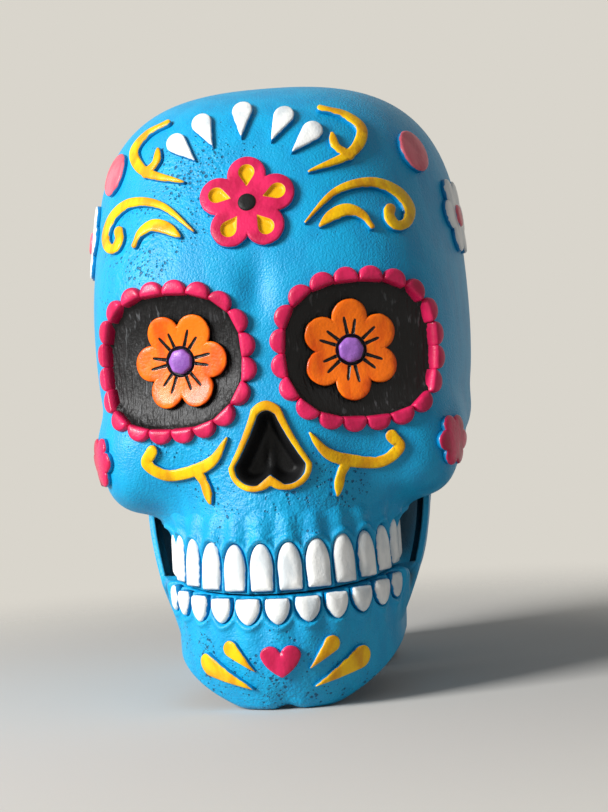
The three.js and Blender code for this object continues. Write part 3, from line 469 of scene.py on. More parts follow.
# Drawing surfaces: an outline's (a, b) point lands on the skin.
def reach_skin(start: Array, inward: Array, steps: int) -> Array:
    """Walks from outside up to the cranium's skin.

    Args:
        start: where each walk starts.
        inward: which way it goes.
        steps: how many steps it may take.

    Returns:
        The points on the skin.
    """
    share, back, ahead = 0.8, -4, 25
    reach = np.zeros(len(start))
    for _ in range(steps):
        p = start + reach[:, None] * inward
        reach = reach + np.clip(share * skin_field(*p.T), back, ahead)
    return start + reach[:, None] * inward


@dataclass(frozen=True)
class Plane:
    """A drawing plane that faces the cranium at an azimuth.

    Attributes:
        azimuth: turn about the upright axis, in degrees.
        across: sideways place of the plane's origin.
        height: height of its origin.
        straight: lifts run along the plane's normal, not the skin's.
        stand_off: how far outside the skin the plane stands.
    """

    azimuth: float = 0
    across: float = 0
    height: float = 0
    straight: bool = False
    stand_off: float = 150

    def axes(self) -> tuple[Array, Array]:
        """Returns the plane's right and inward directions."""
        t = math.radians(self.azimuth)
        return np.array([math.cos(t), math.sin(t), 0]), np.array([-math.sin(t), math.cos(t), 0])

    def at(self, a: Array, b: Array) -> tuple[Array, Array]:
        """Finds the skin under drawn points.

        Args:
            a: places along the surface.
            b: places up it.

        Returns:
            The points and the lift directions.
        """
        right, inward = self.axes()
        origin = np.array([0, CAST.dome_centre[1], self.height]) - self.stand_off * inward
        start = origin + (self.across + a)[:, None] * right + b[:, None] * np.array([0, 0, 1.0])
        p = reach_skin(start, inward, 70)
        return p, np.tile(-inward, (len(a), 1)) if self.straight else gradient(skin_field, p)


@dataclass(frozen=True)
class ArchBand:
    """A drawing band round the upper tooth arch: a runs along the arch, b is the height."""

    def at(self, a: Array, b: Array) -> tuple[Array, Array]:
        """Finds the skin under drawn points.

        Args:
            a: places along the surface.
            b: places up it.

        Returns:
            The points and the lift directions.
        """
        turn = a / MOUTH.radius
        inward = np.stack([-np.sin(turn), np.cos(turn), 0 * turn], -1)
        start = np.stack([0 * a, MOUTH.centre_y + 0 * a, b], -1) - 2 * MOUTH.radius * inward
        return reach_skin(start, inward, 60), -inward


@dataclass(frozen=True)
class JawSheet:
    """The lower jaw's outer face, unrolled: a runs round the horseshoe from the chin, b is the height."""

    @property
    def radius(self) -> float:
        """Radius of the horseshoe's outer face."""
        return MOUTH.radius + JAW.step

    @property
    def quarter(self) -> float:
        """Length of the round part from the chin to the leg."""
        return math.pi / 2 * self.radius

    def along(self, y: float) -> float:
        """Returns the distance round the horseshoe of a place on the leg."""
        return self.quarter + y - MOUTH.centre_y

    def outward(self, a: Array) -> Array:
        """Returns the level outward direction."""
        turn = np.clip(a / self.radius, -math.pi / 2, math.pi / 2)
        return np.stack([np.sin(turn), -np.cos(turn), 0 * turn], -1)

    def land(self, a: Array, b: Array) -> Array:
        """Finds the outer face.

        Args:
            a: places round the horseshoe.
            b: heights.

        Returns:
            The points of the face.
        """
        low = np.clip(1 - b / JAW.rounding_top, 0, 1)
        fade = 1 - smooth_step(np.abs(a), JAW.chin_width, self.quarter)
        rise = np.clip((b - JAW.spread_foot) / (JAW.spread_top - JAW.spread_foot), 0, 1)
        side = smooth_step(np.abs(a), self.quarter - JAW.flare, self.along(JAW.ramus_front))
        chin = bell(a, JAW.chin_width) * bell(b - JAW.chin_z, JAW.chin_height)
        cleft = JAW.cleft * bell(a, JAW.cleft_reach) * smooth_step(b, *JAW.cleft_fade)
        swell = JAW.spread * (1 - (1 - rise) ** 2) * side + JAW.chin_swell * chin
        swell = swell - JAW.rounding * low * low * fade - cleft
        leg = np.maximum(np.abs(a) - self.quarter, 0)
        start = np.stack([0 * a, MOUTH.centre_y + leg, b], -1)
        return start + (self.radius + swell)[:, None] * self.outward(a)

    def at(self, a: Array, b: Array) -> tuple[Array, Array]:
        """Finds the face under drawn points.

        Args:
            a: places along the surface.
            b: places up it.

        Returns:
            The points and the lift directions.
        """
        step = 0.2
        across = self.land(a + step, b) - self.land(a - step, b)
        up = self.land(a, b + step) - self.land(a, b - step)
        return self.land(a, b), unit_vector(np.cross(across, up))


@dataclass(frozen=True)
class Flat:
    """A flat drawing surface, for the unit shapes that repeat."""

    def at(self, a: Array, b: Array) -> tuple[Array, Array]:
        """Returns the points and the upward direction."""
        return np.stack([a, b, 0 * a], -1), np.tile([0.0, 0.0, 1.0], (len(a), 1))


Surface = Plane | ArchBand | JawSheet | Flat
SHEET = JawSheet()


def leaned(x: float, z: float) -> float:
    """Returns a place across the forehead: the ornaments lean to the left as they climb."""
    return x - FOREHEAD_LEAN * max(z - EYE.z, 0)


def eye_plane(side: int, shift: float = 0) -> Plane:
    """Finds the drawing plane that faces one eye.

    Args:
        side: -1 or 1.
        shift: how far it is moved towards the nose.

    Returns:
        The plane.
    """
    turn = side * EYE.turn
    seat = Plane().at(np.array([side * EYE.x]), np.array([EYE.z]))[0][0]
    t = math.radians(turn)
    across = seat[0] * math.cos(t) + (seat[1] - CAST.dome_centre[1]) * math.sin(t)
    return Plane(turn, across - side * shift, EYE.z, True)


# Outlines, drawn in millimetres.
def resample(ring: Array, spacing: float) -> Array:
    """Spaces a ring's points evenly.

    Args:
        ring: the closed ring.
        spacing: the wished gap between points.

    Returns:
        The new ring, of eight points or more.
    """
    closed = np.vstack([ring, ring[:1]])
    length = np.concatenate([[0], np.cumsum(np.linalg.norm(np.diff(closed, axis=0), axis=1))])
    count = max(int(length[-1] / spacing), 8)
    stops = np.linspace(0, length[-1], count, endpoint=False)
    return np.stack([np.interp(stops, length, closed[:, i]) for i in range(2)], -1)


def ring_depth(q: Array, ring: Array) -> Array:
    """Measures to a ring.

    Args:
        q: the points to measure from.
        ring: the closed ring.

    Returns:
        The distances, positive inside.
    """
    a, b = ring, np.roll(ring, -1, 0)
    ab = b - a
    rel = q[:, None] - a
    t = np.clip((rel * ab).sum(-1) / ((ab * ab).sum(-1) + 1e-12), 0, 1)
    gap = np.linalg.norm(rel - t[..., None] * ab, axis=-1).min(1)
    qx, qy = q[:, None, 0], q[:, None, 1]
    cut = a[:, 0] + ab[:, 0] * (qy - a[:, 1]) / np.where(ab[:, 1] == 0, 1e-12, ab[:, 1])
    odd = (((a[:, 1] > qy) != (b[:, 1] > qy)) & (qx < cut)).sum(1) % 2 == 1
    return np.where(odd, gap, -gap)


@dataclass(frozen=True)
class Outline:
    """A drawn shape: the union of rings, less its holes."""

    rings: tuple[Array, ...]
    holes: tuple[Array, ...] = ()

    def depth(self, q: Array) -> Array:
        """Measures in from the edge.

        Args:
            q: the points to measure from.

        Returns:
            The distances, positive inside.
        """
        inside = np.max([ring_depth(q, ring) for ring in self.rings], axis=0)
        if self.holes:
            inside = np.minimum(inside, -np.max([ring_depth(q, ring) for ring in self.holes], axis=0))
        return inside


def arc(centre: Sequence[float], radius: float, start: float, end: float, count: int = 24) -> Array:
    """Returns the points of an arc, angles in radians."""
    t = np.linspace(start, end, count)
    return np.stack([centre[0] + radius * np.cos(t), centre[1] + radius * np.sin(t)], -1)


def circle(centre: Sequence[float], radius: float, count: int = 40) -> Array:
    """Returns a round ring."""
    return arc(centre, radius, 0, 2 * math.pi, count + 1)[:-1]


def bend(a: Sequence[float], b: Sequence[float], c: Sequence[float], count: int = 14) -> Array:
    """Returns a quadratic curve's points, without the last."""
    t = np.linspace(0, 1, count, endpoint=False)[:, None]
    a, b, c = (np.array(p, float) for p in (a, b, c))
    return (1 - t) ** 2 * a + 2 * t * (1 - t) * b + t**2 * c


def petals(count: int, radius: float, offset: float, turn: float = 0) -> Outline:
    """Draws round petals in a ring, joined in the middle.

    Args:
        count: how many petals.
        radius: radius of one petal.
        offset: how far its middle is from the flower's.
        turn: direction of the first petal, in radians.

    Returns:
        The flower's outline.
    """
    rings = [circle((0, 0), offset)]
    for i in range(count):
        t = turn + 2 * math.pi * i / count
        rings.append(circle((offset * math.cos(t), offset * math.sin(t)), radius))
    return Outline(tuple(rings))


def drop(x: float, z: float, length: float, width: float, angle: float) -> Array:
    """Draws a drop with its round end outwards.

    Args:
        x: its middle, across.
        z: its middle, upwards.
        length: from its tip to its round end.
        width: across its round end.
        angle: which way it points, in radians.

    Returns:
        The drop's ring.
    """
    radius = width / 2
    belly = length - radius
    along = np.array([math.cos(angle), math.sin(angle)])
    tip = np.array([x, z]) - along * length / 2
    spread = math.pi - math.acos(radius / belly)
    return np.vstack([tip, arc(tip + along * belly, radius, angle - spread, angle + spread)])


def spline(points: Sequence[Sequence[float]], count: int) -> Array:
    """Draws a smooth curve through points.

    Args:
        points: where it passes.
        count: how many points it gets.

    Returns:
        The curve's points.
    """
    p = np.array(points, float)
    p = np.vstack([2 * p[0] - p[1], p, 2 * p[-1] - p[-2]])
    spans = len(p) - 3
    at = np.linspace(0, spans, count)
    i = np.minimum(at.astype(int), spans - 1)
    t = (at - i)[:, None]
    a, b, c, d = (p[i + k] for k in range(4))
    return 0.5 * (2 * b + (c - a) * t + (2 * a - 5 * b + 4 * c - d) * t**2 + (3 * b - a - 3 * c + d) * t**3)


def stroke(points: Sequence[Sequence[float]], half: float, end: float, side: int = 1) -> Array:
    """Draws a brush stroke: thin at its tip, full in the middle, rounded at its end.

    Args:
        points: the stroke's middle line, for the right side.
        half: half of its full width.
        end: half width of its end, past that of the tip.
        side: -1 mirrors it.

    Returns:
        The stroke's ring.
    """
    tip, swell_end, swell_power = 0.3, 0.9, 0.8
    line = spline([(leaned(side * x, z), z) for x, z in points], 60)
    t = np.linspace(0, 1, len(line))
    way = unit_vector(np.gradient(line, axis=0))
    swell = np.sin(math.pi * np.minimum(t / swell_end, 1) ** swell_power)
    reach = tip + (half - tip) * swell + end * smooth_step(t, 0.5, 1)
    across = np.stack([-way[:, 1], way[:, 0]], -1) * reach[:, None]
    turn = math.atan2(way[-1, 1], way[-1, 0])
    cap = arc(line[-1], reach[-1], turn + math.pi / 2, turn - math.pi / 2, 9)[1:-1]
    return np.vstack([line + across, cap, (line - across)[::-1]])


def heart(width: float, height: float, z: float) -> Array:
    """Draws a heart of two round lobes over a bowed point.

    Args:
        width: across both lobes.
        height: from the point to the lobes' tops.
        z: height of its middle.

    Returns:
        The heart's ring.
    """
    lobe = width / 4
    top = z + height / 2 - lobe
    foot = (0, z - height / 2)
    bow_x, bow_z = width * 0.42, top - height * 0.4
    cleft = math.pi * 0.08
    return np.vstack([
        bend(foot, (bow_x, bow_z), (width / 2, top)),
        arc((lobe, top), lobe, 0, math.pi - cleft),
        arc((-lobe, top), lobe, cleft, math.pi),
        bend((-width / 2, top), (-bow_x, bow_z), foot),
    ])


def nose(grow: float, peak: float = 0.0) -> Array:
    """Draws the nose opening: two round lobes, drawn up to a narrow top.

    Args:
        grow: how far it spreads past the opening.
        peak: height of a wedge between the lobes, above their foot; none when 0.

    Returns:
        The opening's ring.
    """
    lobe, offset = 6 + grow, 5
    top, narrow = 16 + grow, 2.5 + grow
    bow_x, bow_z = lobe * 0.9, top * 0.55
    notch = 1.45 if peak else math.acos(min(offset / lobe, 1))
    wedge = [(0, peak - lobe)] if peak else []
    return np.vstack([
        bend((narrow, top), (0, top + narrow), (-narrow, top)),
        bend((-narrow, top), (-bow_x, bow_z), (-offset - lobe, 0)),
        arc((-offset, 0), lobe, math.pi, 2 * math.pi - notch),
        *wedge,
        arc((offset, 0), lobe, math.pi + notch, 2 * math.pi),
        bend((offset + lobe, 0), (bow_x, bow_z), (narrow, top)),
    ])


def tooth(width: float, height: float) -> Array:
    """Draws a tooth on its biting edge: arched at the gum, and more pointed in the lower row.

    Args:
        width: across the tooth.
        height: up from its edge; below zero for a lower tooth.

    Returns:
        The tooth's ring.
    """
    half = width / 2
    share, point = (0.55, 1.0) if height > 0 else (0.74, 1.3)
    arch = abs(height) * share
    shoulder = abs(height) - arch
    t = np.linspace(0, math.pi, 26)
    across = np.sign(np.cos(t)) * np.abs(np.cos(t)) ** point
    top = np.stack([half * across, shoulder + arch * np.sin(t)], -1)
    corner = ((0.94, 0.5), (0.86, 0.1))
    left = [(-half * across_share, rise) for across_share, rise in corner]
    right = [(half * across_share, rise) for across_share, rise in corner[::-1]]
    foot = np.array([*left, (0, 0), *right])
    return np.vstack([top, foot]) * np.array([1, math.copysign(1, height)])


NOSE_Z = 79
# Half width, lowest and highest place, and back of the space round the nose opening.
NOSE_BOX = (16, (NOSE_Z - 17, NOSE_Z + 27), -55)
NOSE_PLANE = Plane(0, 0, NOSE_Z)
NOSE_RING = resample(nose(0.2), 1.2)
EYE_PLANES = {side: eye_plane(side) for side, _ in SIDES}


def cast_field(x: Array, y: Array, z: Array) -> Array:
    """Measures to the cranium casting, with its sockets, bite, slots and base hole.

    Args:
        x: places across.
        y: places to the back.
        z: heights.

    Returns:
        The distances, negative inside.
    """
    d = skin_field(x, y, z)
    d = smooth_max(d, CAST.felt_top - z, CAST.cut_edge)
    turn = np.arctan2(np.abs(x), MOUTH.centre_y - y)
    foot = MOUTH.upper_foot + MOUTH.rise(turn)
    ahead = CAST.base_y - CAST.base[1] - MOUTH.setback - y
    d = smooth_max(d, np.minimum(foot - z, ahead), CAST.cut_edge)
    swing = np.minimum(np.minimum(np.abs(x) - CAST.swing[0], CAST.swing[2] - z),
                       np.minimum(y - CAST.swing[1], CAST.slot_y[1] - y))
    d = smooth_max(d, swing, CAST.cut_edge)
    bore = np.minimum(CAST.base_hole - np.hypot(x, y - CAST.base_y), CAST.base_hole_top - z)
    d = smooth_max(d, bore, CAST.cut_edge)
    for side, plane in EYE_PLANES.items():
        right, _ = plane.axes()
        a = x * right[0] + (y - CAST.dome_centre[1]) * right[1] - plane.across
        hole = (CAST.socket_share - eye_share(a, z - EYE.z)) * min(EYE.halves)
        hole = np.minimum(hole, np.minimum(d + CAST.eye_cut, -y))
        d = np.where(side * x > 0, smooth_max(d, hole, CAST.socket_edge), d)
    half_x, (low_z, high_z), back_y = NOSE_BOX
    close = (np.abs(x) < half_x) & (z > low_z) & (z < high_z) & (y < back_y)
    if close.any():
        q = np.stack([x[close], z[close] - NOSE_Z], -1)
        hole = np.minimum(ring_depth(q, NOSE_RING), d[close] + CAST.nose_cut)
        d = d.copy()
        d[close] = smooth_max(d[close], hole, CAST.socket_edge)
    return d


# Meshes.
@dataclass
class Shape:
    """A closed mesh in millimetres, with the values that its paint reads.

    Attributes:
        points: its vertices.
        faces: its faces, three or four corners each.
        paint: distance in from a painted edge; below zero on the bare sides.
        inlay: 1 where a second colour fills a hollow.
        pits: how strongly the casting is pitted.
        painted_shade: 1 where shade is painted on, deep inside a cut and round the jaw slots.
    """

    points: Array
    faces: Array | list[list[int]]
    paint: Array | None = None
    inlay: Array | None = None
    pits: Array | None = None
    painted_shade: Array | None = None


def make_object(name: str, shape: Shape, material: bpy.types.Material) -> Thing:
    """Makes an object of a shape, in metres.

    Args:
        name: the object's name.
        shape: its mesh, and the values for its paint.
        material: its paint.

    Returns:
        The new object, in the scene.
    """
    mesh = bpy.data.meshes.new(name)
    mesh.from_pydata((shape.points * MM).tolist(), [], [list(face) for face in shape.faces])
    for key in ("paint", "inlay", "pits", "painted_shade"):
        values = getattr(shape, key)
        if values is not None:
            layer = mesh.attributes.new(key, "FLOAT", "POINT")
            layer.data.foreach_set("value", np.asarray(values, np.float32))
    mesh.materials.append(material)
    mesh.shade_smooth()
    mesh.update()
    thing = bpy.data.objects.new(name, mesh)
    bpy.context.scene.collection.objects.link(thing)
    return thing


def place(thing: Thing, body: Body, slot: Slot, *nodes: str) -> None:
    """Ties a finished piece to its body in place of its solids, and reports it.

    Args:
        thing: the piece.
        body: the body that carries it.
        slot: its material slot; not used.
        nodes: the solids that it stands for.
    """
    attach(thing, body.value)
    if nodes:
        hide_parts(*nodes)
    LOG.info("%s rides on %s, in place of %s", thing.name, body.value, ", ".join(nodes) or "no solid")


def grid_faces(index: Array) -> Array:
    """Returns the quads between the rows and columns of a grid of points."""
    return np.stack([index[:-1, :-1], index[1:, :-1], index[1:, 1:], index[:-1, 1:]], -1).reshape(-1, 4)


def mesh_outline(outline: Outline, creases: Sequence[Array], fine: float,
                 coarse: float) -> tuple[Array, Array]:
    """Fills an outline with triangles that follow its edge and its creases.

    Args:
        outline: the shape to fill.
        creases: rings inside it that must be edges of the mesh.
        fine: spacing along edges.
        coarse: spacing in the open middle.

    Returns:
        The flat points and the triangles.
    """
    insets, inset_share, crease_gap = (0.25, 0.6), 0.9, 0.15
    grid_gap, grid_crease_gap, row_share = 0.6, 0.5, 0.87
    points: list[Array] = []
    edges: list[tuple[int, int]] = []
    count = 0
    for ring in (*outline.rings, *outline.holes, *creases):
        even = resample(ring, fine)
        edges += [(count + i, count + (i + 1) % len(even)) for i in range(len(even))]
        points.append(even)
        count += len(even)
        way = np.roll(even, -1, 0) - np.roll(even, 1, 0)
        way = unit_vector(np.stack([way[:, 1], -way[:, 0]], -1))
        for inset in insets:
            for sign in (-1, 1):
                moved = even + sign * inset * way
                keep = outline.depth(moved) > inset_share * inset
                for crease in creases:
                    keep &= np.abs(ring_depth(moved, crease)) > crease_gap
                points.append(moved[keep])
                count += int(keep.sum())
    low = np.min([r.min(0) for r in outline.rings], axis=0)
    high = np.max([r.max(0) for r in outline.rings], axis=0)
    across = np.arange(low[0], high[0], coarse)
    gx, gy = np.meshgrid(across, np.arange(low[1], high[1], coarse * row_share))
    gx = gx + coarse / 2 * (np.arange(len(gx)) % 2)[:, None]
    grid = np.stack([gx.ravel(), gy.ravel()], -1)
    keep = outline.depth(grid) > grid_gap + coarse / 2
    for crease in creases:
        keep &= np.abs(ring_depth(grid, crease)) > grid_crease_gap
    points.append(grid[keep])
    flat = np.concatenate(points)
    made = delaunay_2d_cdt([Vector(p) for p in flat.tolist()], edges, [], 0, 1e-4)
    verts = np.array([tuple(v) for v in made[0]])
    faces = np.array(made[2])
    faces = faces[outline.depth(verts[faces].mean(1)) > 0]
    used = np.unique(faces)
    remap = np.full(len(verts), -1)
    remap[used] = np.arange(len(used))
    return verts[used], remap[faces]


def thicken(surface: Surface, flat: Array, faces: Array, lower: Array, upper: Array,
            flare: float = 0.0) -> tuple[Array, Array]:
    """Closes a filled outline between two lifts over a surface.

    Args:
        surface: where the outline lies.
        flat: the outline's points.
        faces: its triangles or quads.
        lower: lift of each lower point.
        upper: lift of each upper point.
        flare: how far the foot spreads past the edge.

    Returns:
        The points, lower layer first, and the faces.
    """
    corners = faces.shape[1]
    pairs = np.concatenate([faces[:, [i, (i + 1) % corners]] for i in range(corners)])
    keys = {tuple(p) for p in pairs.tolist()}
    border = np.array([p for p in pairs.tolist() if (p[1], p[0]) not in keys])
    out = np.zeros_like(flat)
    way = flat[border[:, 1]] - flat[border[:, 0]]
    way = unit_vector(np.stack([way[:, 1], -way[:, 0]], -1))
    np.add.at(out, border[:, 0], way)
    np.add.at(out, border[:, 1], way)
    foot = flat + flare * unit_vector(out)
    p, n = surface.at(foot[:, 0], foot[:, 1])
    q, m = surface.at(flat[:, 0], flat[:, 1])
    points = np.concatenate([p + n * lower[:, None], q + m * upper[:, None]])
    top = len(flat)
    i, j = border.T
    sides = [np.stack([i, j, j + top], -1), np.stack([i, j + top, i + top], -1)]
    if corners == 4:
        sides = [np.stack([i, j, j + top, i + top], -1)]
    return points, np.concatenate([faces[:, ::-1], faces + top, *sides])


Lift = Callable[[Array, Array, Array], Array]


def dome(depth: Array, rounding: float) -> Array:
    """Returns a quarter round: 0 at an edge, 1 past the rounding."""
    return np.sqrt(1 - (1 - np.clip(depth / rounding, 0, 1)) ** 2)


def domed(side: float, rise: float, rounding: float) -> Lift:
    """Returns the lift of a domed top over an upright side."""
    return lambda a, b, depth: side + rise * dome(depth, rounding)


def shoulder(depth: Array, height: float, rounding: float) -> Array:
    """Returns a flat top that rounds over towards its edge."""
    side = 0.62
    return height * (side + (1 - side) * dome(depth, rounding))


def relief(surface: Surface, outline: Outline, height: float = RELIEF, rounding: float = 0.7,
           hollows: Sequence[Array] = (), hollow_depth: float = 0.9, lift: Lift | None = None,
           base: Lift | None = None, coarse: float = 1.5, fine: float = 0.6) -> Shape:
    """Builds a raised, painted ornament.

    Args:
        surface: where it lies.
        outline: its drawn shape.
        height: how far its top stands above the skin.
        rounding: how far its edge rounds over.
        hollows: rings inside it that are sunk and take the second colour.
        hollow_depth: how far they are sunk.
        lift: its top's lift by (a, b, depth), in place of height and rounding.
        base: what it stands on, as a lift; the skin when left out.
        coarse: spacing of points in the open middle.
        fine: spacing of points along the edges.

    Returns:
        The closed shape, its sides marked as unpainted.
    """
    hollow_slope, inlay_edge = (-0.05, 0.75), 0.5
    flat, faces = mesh_outline(outline, hollows, fine, coarse)
    a, b = flat.T
    depth = np.maximum(outline.depth(flat), 0)
    upper = lift(a, b, depth) if lift else shoulder(depth, height, rounding)
    inlay = np.zeros(len(flat))
    for ring in hollows:
        inside = ring_depth(flat, ring)
        upper = upper - hollow_depth * smooth_step(inside, *hollow_slope)
        inlay = np.maximum(inlay, np.clip(inside + inlay_edge, 0, 1))
    ground = base(a, b, depth) if base else np.zeros(len(flat))
    points, closed = thicken(surface, flat, faces, ground + FOOT, ground + upper, FOOT_SPREAD)
    paint = np.concatenate([np.full(len(flat), -1.0), depth])
    return Shape(points, closed, paint, np.concatenate([0 * inlay, inlay]))


def sink_foot(shape: Shape, way: Array) -> Shape:
    """Moves a shape's lower layer, which is the first half of its points.

    Args:
        shape: a shape made by relief.
        way: how far it goes, as a vector.

    Returns:
        The same shape.
    """
    shape.points[: len(shape.points) // 2] += way
    return shape


# Repeats, placed by a node tree.
@dataclass(frozen=True)
class Spot:
    """Where one copy of a repeated shape goes, in millimetres.

    Attributes:
        place: where its origin goes.
        right: which way its first axis points.
        up: which way its second axis points.
        scale: its stretch along its own axes.
    """

    place: Array
    right: Array
    up: Array
    scale: Triple = (1, 1, 1)

    def turn(self) -> Triple:
        """Returns the copy's turn as angles."""
        out = np.cross(self.right, self.up)
        return tuple(Matrix(np.stack([self.right, self.up, out], -1).tolist()).to_euler())


def copies_tree() -> bpy.types.NodeTree:
    """Makes the node tree that sets a unit shape on every point.

    Returns:
        The tree, with the points, the unit, the paint and the size as its inputs.
    """
    tree = bpy.data.node_groups.new("copies_on_points", "GeometryNodeTree")
    sockets = tree.interface
    sockets.new_socket("Points", in_out="INPUT", socket_type="NodeSocketGeometry")
    sockets.new_socket("Unit", in_out="INPUT", socket_type="NodeSocketObject")
    sockets.new_socket("Paint", in_out="INPUT", socket_type="NodeSocketMaterial")
    sockets.new_socket("Size", in_out="INPUT", socket_type="NodeSocketFloat")
    sockets.new_socket("Copies", in_out="OUTPUT", socket_type="NodeSocketGeometry")
    add, link = tree.nodes.new, tree.links.new
    given, result = add("NodeGroupInput"), add("NodeGroupOutput")
    unit, spread = add("GeometryNodeObjectInfo"), add("GeometryNodeInstanceOnPoints")
    turn, stretch = add("GeometryNodeInputNamedAttribute"), add("GeometryNodeInputNamedAttribute")
    for node, name in ((turn, "turn"), (stretch, "stretch")):
        node.data_type = "FLOAT_VECTOR"
        node.inputs["Name"].default_value = name
    angles, grow = add("FunctionNodeEulerToRotation"), add("ShaderNodeVectorMath")
    grow.operation = "SCALE"
    real, colour = add("GeometryNodeRealizeInstances"), add("GeometryNodeSetMaterial")
    link(given.outputs["Points"], spread.inputs["Points"])
    link(given.outputs["Unit"], unit.inputs["Object"])
    link(unit.outputs["Geometry"], spread.inputs["Instance"])
    link(turn.outputs["Attribute"], angles.inputs[0])
    link(angles.outputs[0], spread.inputs["Rotation"])
    link(stretch.outputs["Attribute"], grow.inputs[0])
    link(given.outputs["Size"], grow.inputs["Scale"])
    link(grow.outputs[0], spread.inputs["Scale"])
    link(spread.outputs["Instances"], real.inputs["Geometry"])
    link(real.outputs["Geometry"], colour.inputs["Geometry"])
    link(given.outputs["Paint"], colour.inputs["Material"])
    link(colour.outputs["Geometry"], result.inputs["Copies"])
    return tree


def copies(name: str, unit: Shape, spots: Sequence[Spot], material: bpy.types.Material) -> Thing:
    """Sets a copy of a unit shape on every spot.

    Args:
        name: the new object's name.
        unit: the shape to repeat.
        spots: where the copies go.
        material: their paint.

    Returns:
        One object with a plain mesh of all the copies.
    """
    tree = bpy.data.node_groups.get("copies_on_points") or copies_tree()
    pattern = make_object(f"{name}_unit", unit, material)
    mesh = bpy.data.meshes.new(f"{name}_points")
    mesh.from_pydata([tuple(s.place * MM) for s in spots], [], [])
    for key, values in (("turn", [s.turn() for s in spots]), ("stretch", [s.scale for s in spots])):
        layer = mesh.attributes.new(key, "FLOAT_VECTOR", "POINT")
        layer.data.foreach_set("vector", np.array(values, np.float32).ravel())
    holder = bpy.data.objects.new(f"{name}_points", mesh)
    bpy.context.scene.collection.objects.link(holder)
    modifier = holder.modifiers.new("copies", "NODES")
    modifier.node_group = tree
    given = {"Unit": pattern, "Paint": material, "Size": 1.0}
    for socket in tree.interface.items_tree:
        if socket.name in given:
            modifier[socket.identifier] = given[socket.name]
    depsgraph = bpy.context.evaluated_depsgraph_get()
    plain = bpy.data.meshes.new_from_object(holder.evaluated_get(depsgraph))
    plain.name = name
    plain.shade_smooth()
    for thing in (holder, pattern):
        old = thing.data
        bpy.data.objects.remove(thing)
        bpy.data.meshes.remove(old)
    made = bpy.data.objects.new(name, plain)
    bpy.context.scene.collection.objects.link(made)
    return made


# Finishes.
Colour = tuple[float, float, float, float]


def linear(red: int, green: int, blue: int) -> Colour:
    """Returns a screen colour as a shader colour."""
    parts = [c / 255 for c in (red, green, blue)]
    return (*[c / 12.92 if c <= 0.04045 else ((c + 0.055) / 1.055) ** 2.4 for c in parts], 1.0)


BLUE_TOP = linear(0, 158, 206)
BLUE_BRUSH = linear(0, 148, 198)
BLUE_DEEP = linear(0, 130, 186)
# Black: the eye flowers' grooves, and painted shade on their side walls.
BLACK_AND_SIDE_SHADE = linear(12, 11, 12)
# Pale grey of the black dish's streaks: scratches, with painted glints along them.
SCRATCH_AND_GLINT = linear(104, 106, 108)
# Dark blue inside each pinhole: painted shade.
PINHOLE_SHADE = linear(0, 44, 84)
# Painted shade for the jaw slots, the wall behind them and the jaw's groove and inner face.
SHADE = linear(4, 10, 16)


@dataclass(frozen=True)
class Finish:
    """How a surface is painted.

    Attributes:
        name: the material's name.
        top: its colour.
        deep: the colour that its brush strokes vary towards.
        roughness: how matt it is.
        coat: how much clear gloss lies on it.
        side: the colour of its bare sides, if the paint stops at the edge: the cast blue, or on the orange
            flower a black that is painted shade.
        second: the colour of its inlays, if it has any.
        pitted: the casting's pinholes show in it.
        scratch_glints: pale dry-brush scratches lie on it, their pale colour a painted glint.
    """

    name: str
    top: Colour
    deep: Colour
    roughness: float = 0.42
    coat: float = 0.0
    side: Colour | None = BLUE_DEEP
    second: Colour | None = None
    pitted: bool = False
    scratch_glints: bool = False


FINISHES = {
    "blue": Finish("cast_blue", BLUE_TOP, BLUE_BRUSH, 0.46, side=None, pitted=True),
    "pink": Finish("pink_paint", linear(222, 36, 92), linear(178, 18, 66), 0.34, 0.15),
    "knob": Finish("pink_paint_knobs", linear(222, 36, 92), linear(186, 22, 72), 0.38, 0.08, None),
    "flower": Finish("pink_paint_flower", linear(222, 36, 92), linear(178, 18, 66), 0.42, 0.04,
                     second=linear(226, 170, 0)),
    "yellow": Finish("yellow_paint", linear(246, 192, 0), linear(214, 148, 0), 0.38, 0.1),
    "white": Finish("white_paint", linear(244, 244, 240), linear(206, 212, 214), 0.36, 0.1),
    # The orange flower's side walls are painted black as painted shade.
    "orange": Finish("orange_paint", linear(255, 118, 8), linear(224, 84, 0), 0.36, 0.1, BLACK_AND_SIDE_SHADE,
                     second=BLACK_AND_SIDE_SHADE),
    "purple": Finish("purple_paint", linear(166, 108, 198), linear(128, 78, 160), 0.36, 0.1, None),
    "coral": Finish("coral_paint", linear(236, 112, 126), linear(206, 78, 98), 0.38, 0.1),
    "black": Finish("black_gloss", linear(15, 15, 16), linear(7, 7, 8), 0.44, 0.0, None, scratch_glints=True),
    "deep": Finish("black_matt", linear(10, 10, 11), linear(5, 5, 6), 0.55, 0.0, None),
    "felt": Finish("felt_pad", linear(58, 58, 62), linear(38, 38, 42), 0.95, side=None),
}


